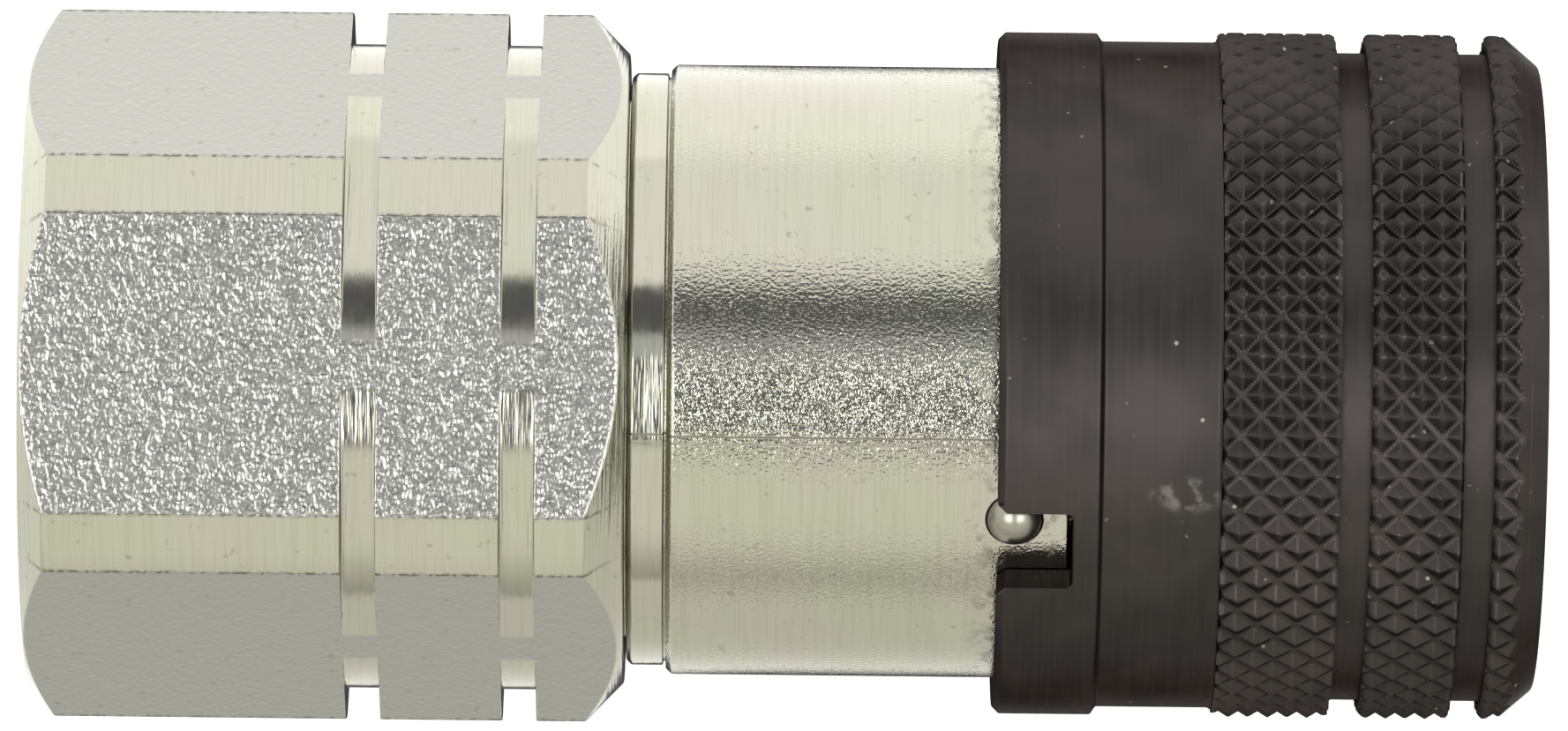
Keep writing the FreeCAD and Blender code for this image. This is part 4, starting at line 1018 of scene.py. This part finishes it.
shuttle = turned_piece(
    "shuttle_ring",
    [
        (SHUTTLE_END, COUNTERBORE, 0.08),
        (SHUTTLE_END, SHUTTLE_FACE, 0.12),
        (SHUTTLE_TAPER, SHUTTLE, 0.2),
        (SHUTTLE_START, SHUTTLE, 0.2),
        (SHUTTLE_START, POCKET, 0.1),
        (POCKET_END, POCKET, 0.05),
        (POCKET_END, SHUTTLE_BORE, 0.05),
        (COUNTERBORE_AT, SHUTTLE_BORE, 0.05),
        (COUNTERBORE_AT, COUNTERBORE, 0.05),
    ],
    "shuttle",
    ["face_shuttle"],
)
shuttle.data.materials.append(turned_steel)
shuttle_spring = coil(
    "shuttle_coil",
    GUIDE[1],
    POCKET_END,
    mean=12.95,
    wire=1.4,
    turns=6.5,
    body="coupler_body",
    replaced=["shuttle_spring"],
)
shuttle_spring.data.materials.append(spring_steel)
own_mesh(shuttle_spring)

# ---------------------------------------------------------------- valve
# A turned sleeve slides over the fixed stem and closes on the O-ring in its head. The stem is
# held at the back by a six-holed spider and a nut.

VALVE_START, VALVE_END, VALVE_HEAD = extent("valve_sleeve")
HEAD_START = 99.6
VALVE = 12.0
TAIL = 11.0
TAIL_END = extent("valve_collar_ring")[1]
VALVE_BORE = 9.8
VALVE_BORE_END = 94.75
SEAT = 9.05
valve = turned_piece(
    "valve_tube",
    [
        (VALVE_END, SEAT, 0.1),
        (VALVE_END, VALVE_HEAD, 0.12),
        (HEAD_START, VALVE_HEAD, 0.05),
        (HEAD_START, VALVE, 0.05),
        (TAIL_END, VALVE, 0.1),
        (TAIL_END, TAIL, 0.05),
        (VALVE_START, TAIL, 0.1),
        (VALVE_START, VALVE_BORE, 0.1),
        (VALVE_BORE_END, VALVE_BORE, 0.05),
        (VALVE_BORE_END + VALVE_BORE - SEAT, SEAT, 0.1),
    ],
    "valve",
    ["valve_sleeve"],
)
valve.data.materials.append(turned_steel)
STEM_START, STEM_END, STEM_HEAD = extent("valve_stem")
STEM_SEAL = (98.6, 101.0)
STEM_SEAL_FLOOR = 7.4
STEM_CONE = (91.0, 96.5)
STEM = 4.2
STUD = 3.0
SPIDER_END = extent("stem_spider")[1]
stem = turned_piece(
    "stem_turned",
    [
        (STEM_END, 0.0, 0),
        (STEM_END, STEM_HEAD, 0.12),
        (STEM_SEAL[1], STEM_HEAD, 0.06),
        (STEM_SEAL[1], STEM_SEAL_FLOOR, 0.1),
        (STEM_SEAL[0], STEM_SEAL_FLOOR, 0.1),
        (STEM_SEAL[0], STEM_HEAD, 0.06),
        (STEM_CONE[1], STEM_HEAD, 0.3),
        (STEM_CONE[0], STEM, 0.6),
        (SPIDER_END, STEM, 0.05),
        (SPIDER_END, STUD, 0.05),
        (STEM_START, STUD, 0.2),
        (STEM_START, 0.0, 0),
    ],
    "coupler_body",
    ["valve_stem"],
    closed=False,
)
stem.data.materials.append(turned_steel)
COLLAR_RING_START = extent("valve_collar_ring")[0]
valve_spring = coil(
    "valve_coil",
    SPIDER_END,
    COLLAR_RING_START,
    mean=12.95,
    wire=1.5,
    turns=4.5,
    body="coupler_body",
    replaced=["valve_spring"],
)
valve_spring.data.materials.append(spring_steel)
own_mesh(valve_spring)
for name in ("stem_spider", "stem_nut", "valve_collar_ring"):
    coat_node(name, turned_steel)

# ---------------------------------------------------------------- seals
# Moulded nitrile O-rings, black and slightly shiny with grease, lie in the grooves. Backup rings
# skived from white PTFE keep two of them from being pressed into the gap beside them.

nitrile = bpy.data.materials.new("nitrile_rubber")
nitrile.use_nodes = True
tree = nitrile.node_tree
shader = tree.nodes["Principled BSDF"]
place = tree.nodes.new("ShaderNodeTexCoord").outputs["Object"]
grease = node(tree, "TexNoise", {"Vector": place, "Scale": 1000 / 2, "Detail": 3})
base = node(
    tree, "Mix", {0: grease, 6: linear("161514"), 7: linear("242221")}, 2, data_type="RGBA"
)
tree.links.new(base, shader.inputs["Base Color"])
rough = node(tree, "MapRange", [grease, 0.3, 0.7, 0.28, 0.5])
tree.links.new(rough, shader.inputs["Roughness"])
shader.inputs["IOR"].default_value = 1.52
ptfe = bpy.data.materials.new("ptfe_skived")
ptfe.use_nodes = True
tree = ptfe.node_tree
shader = tree.nodes["Principled BSDF"]
place = tree.nodes.new("ShaderNodeTexCoord").outputs["Object"]
haze = node(tree, "TexNoise", {"Vector": place, "Scale": 1000 / 1.7, "Detail": 3})
base = node(tree, "Mix", {0: haze, 6: linear("F1F0EA"), 7: linear("DEDCD4")}, 2, data_type="RGBA")
tree.links.new(base, shader.inputs["Base Color"])
shader.inputs["Roughness"].default_value = 0.4
shader.inputs["IOR"].default_value = 1.38
for name in ("spigot_o_ring", "valve_guide_o_ring", "nose_o_ring", "stem_o_ring"):
    coat_node(name, nitrile)
for name in ("valve_guide_backup_ring", "nose_backup_ring"):
    coat_node(name, ptfe)
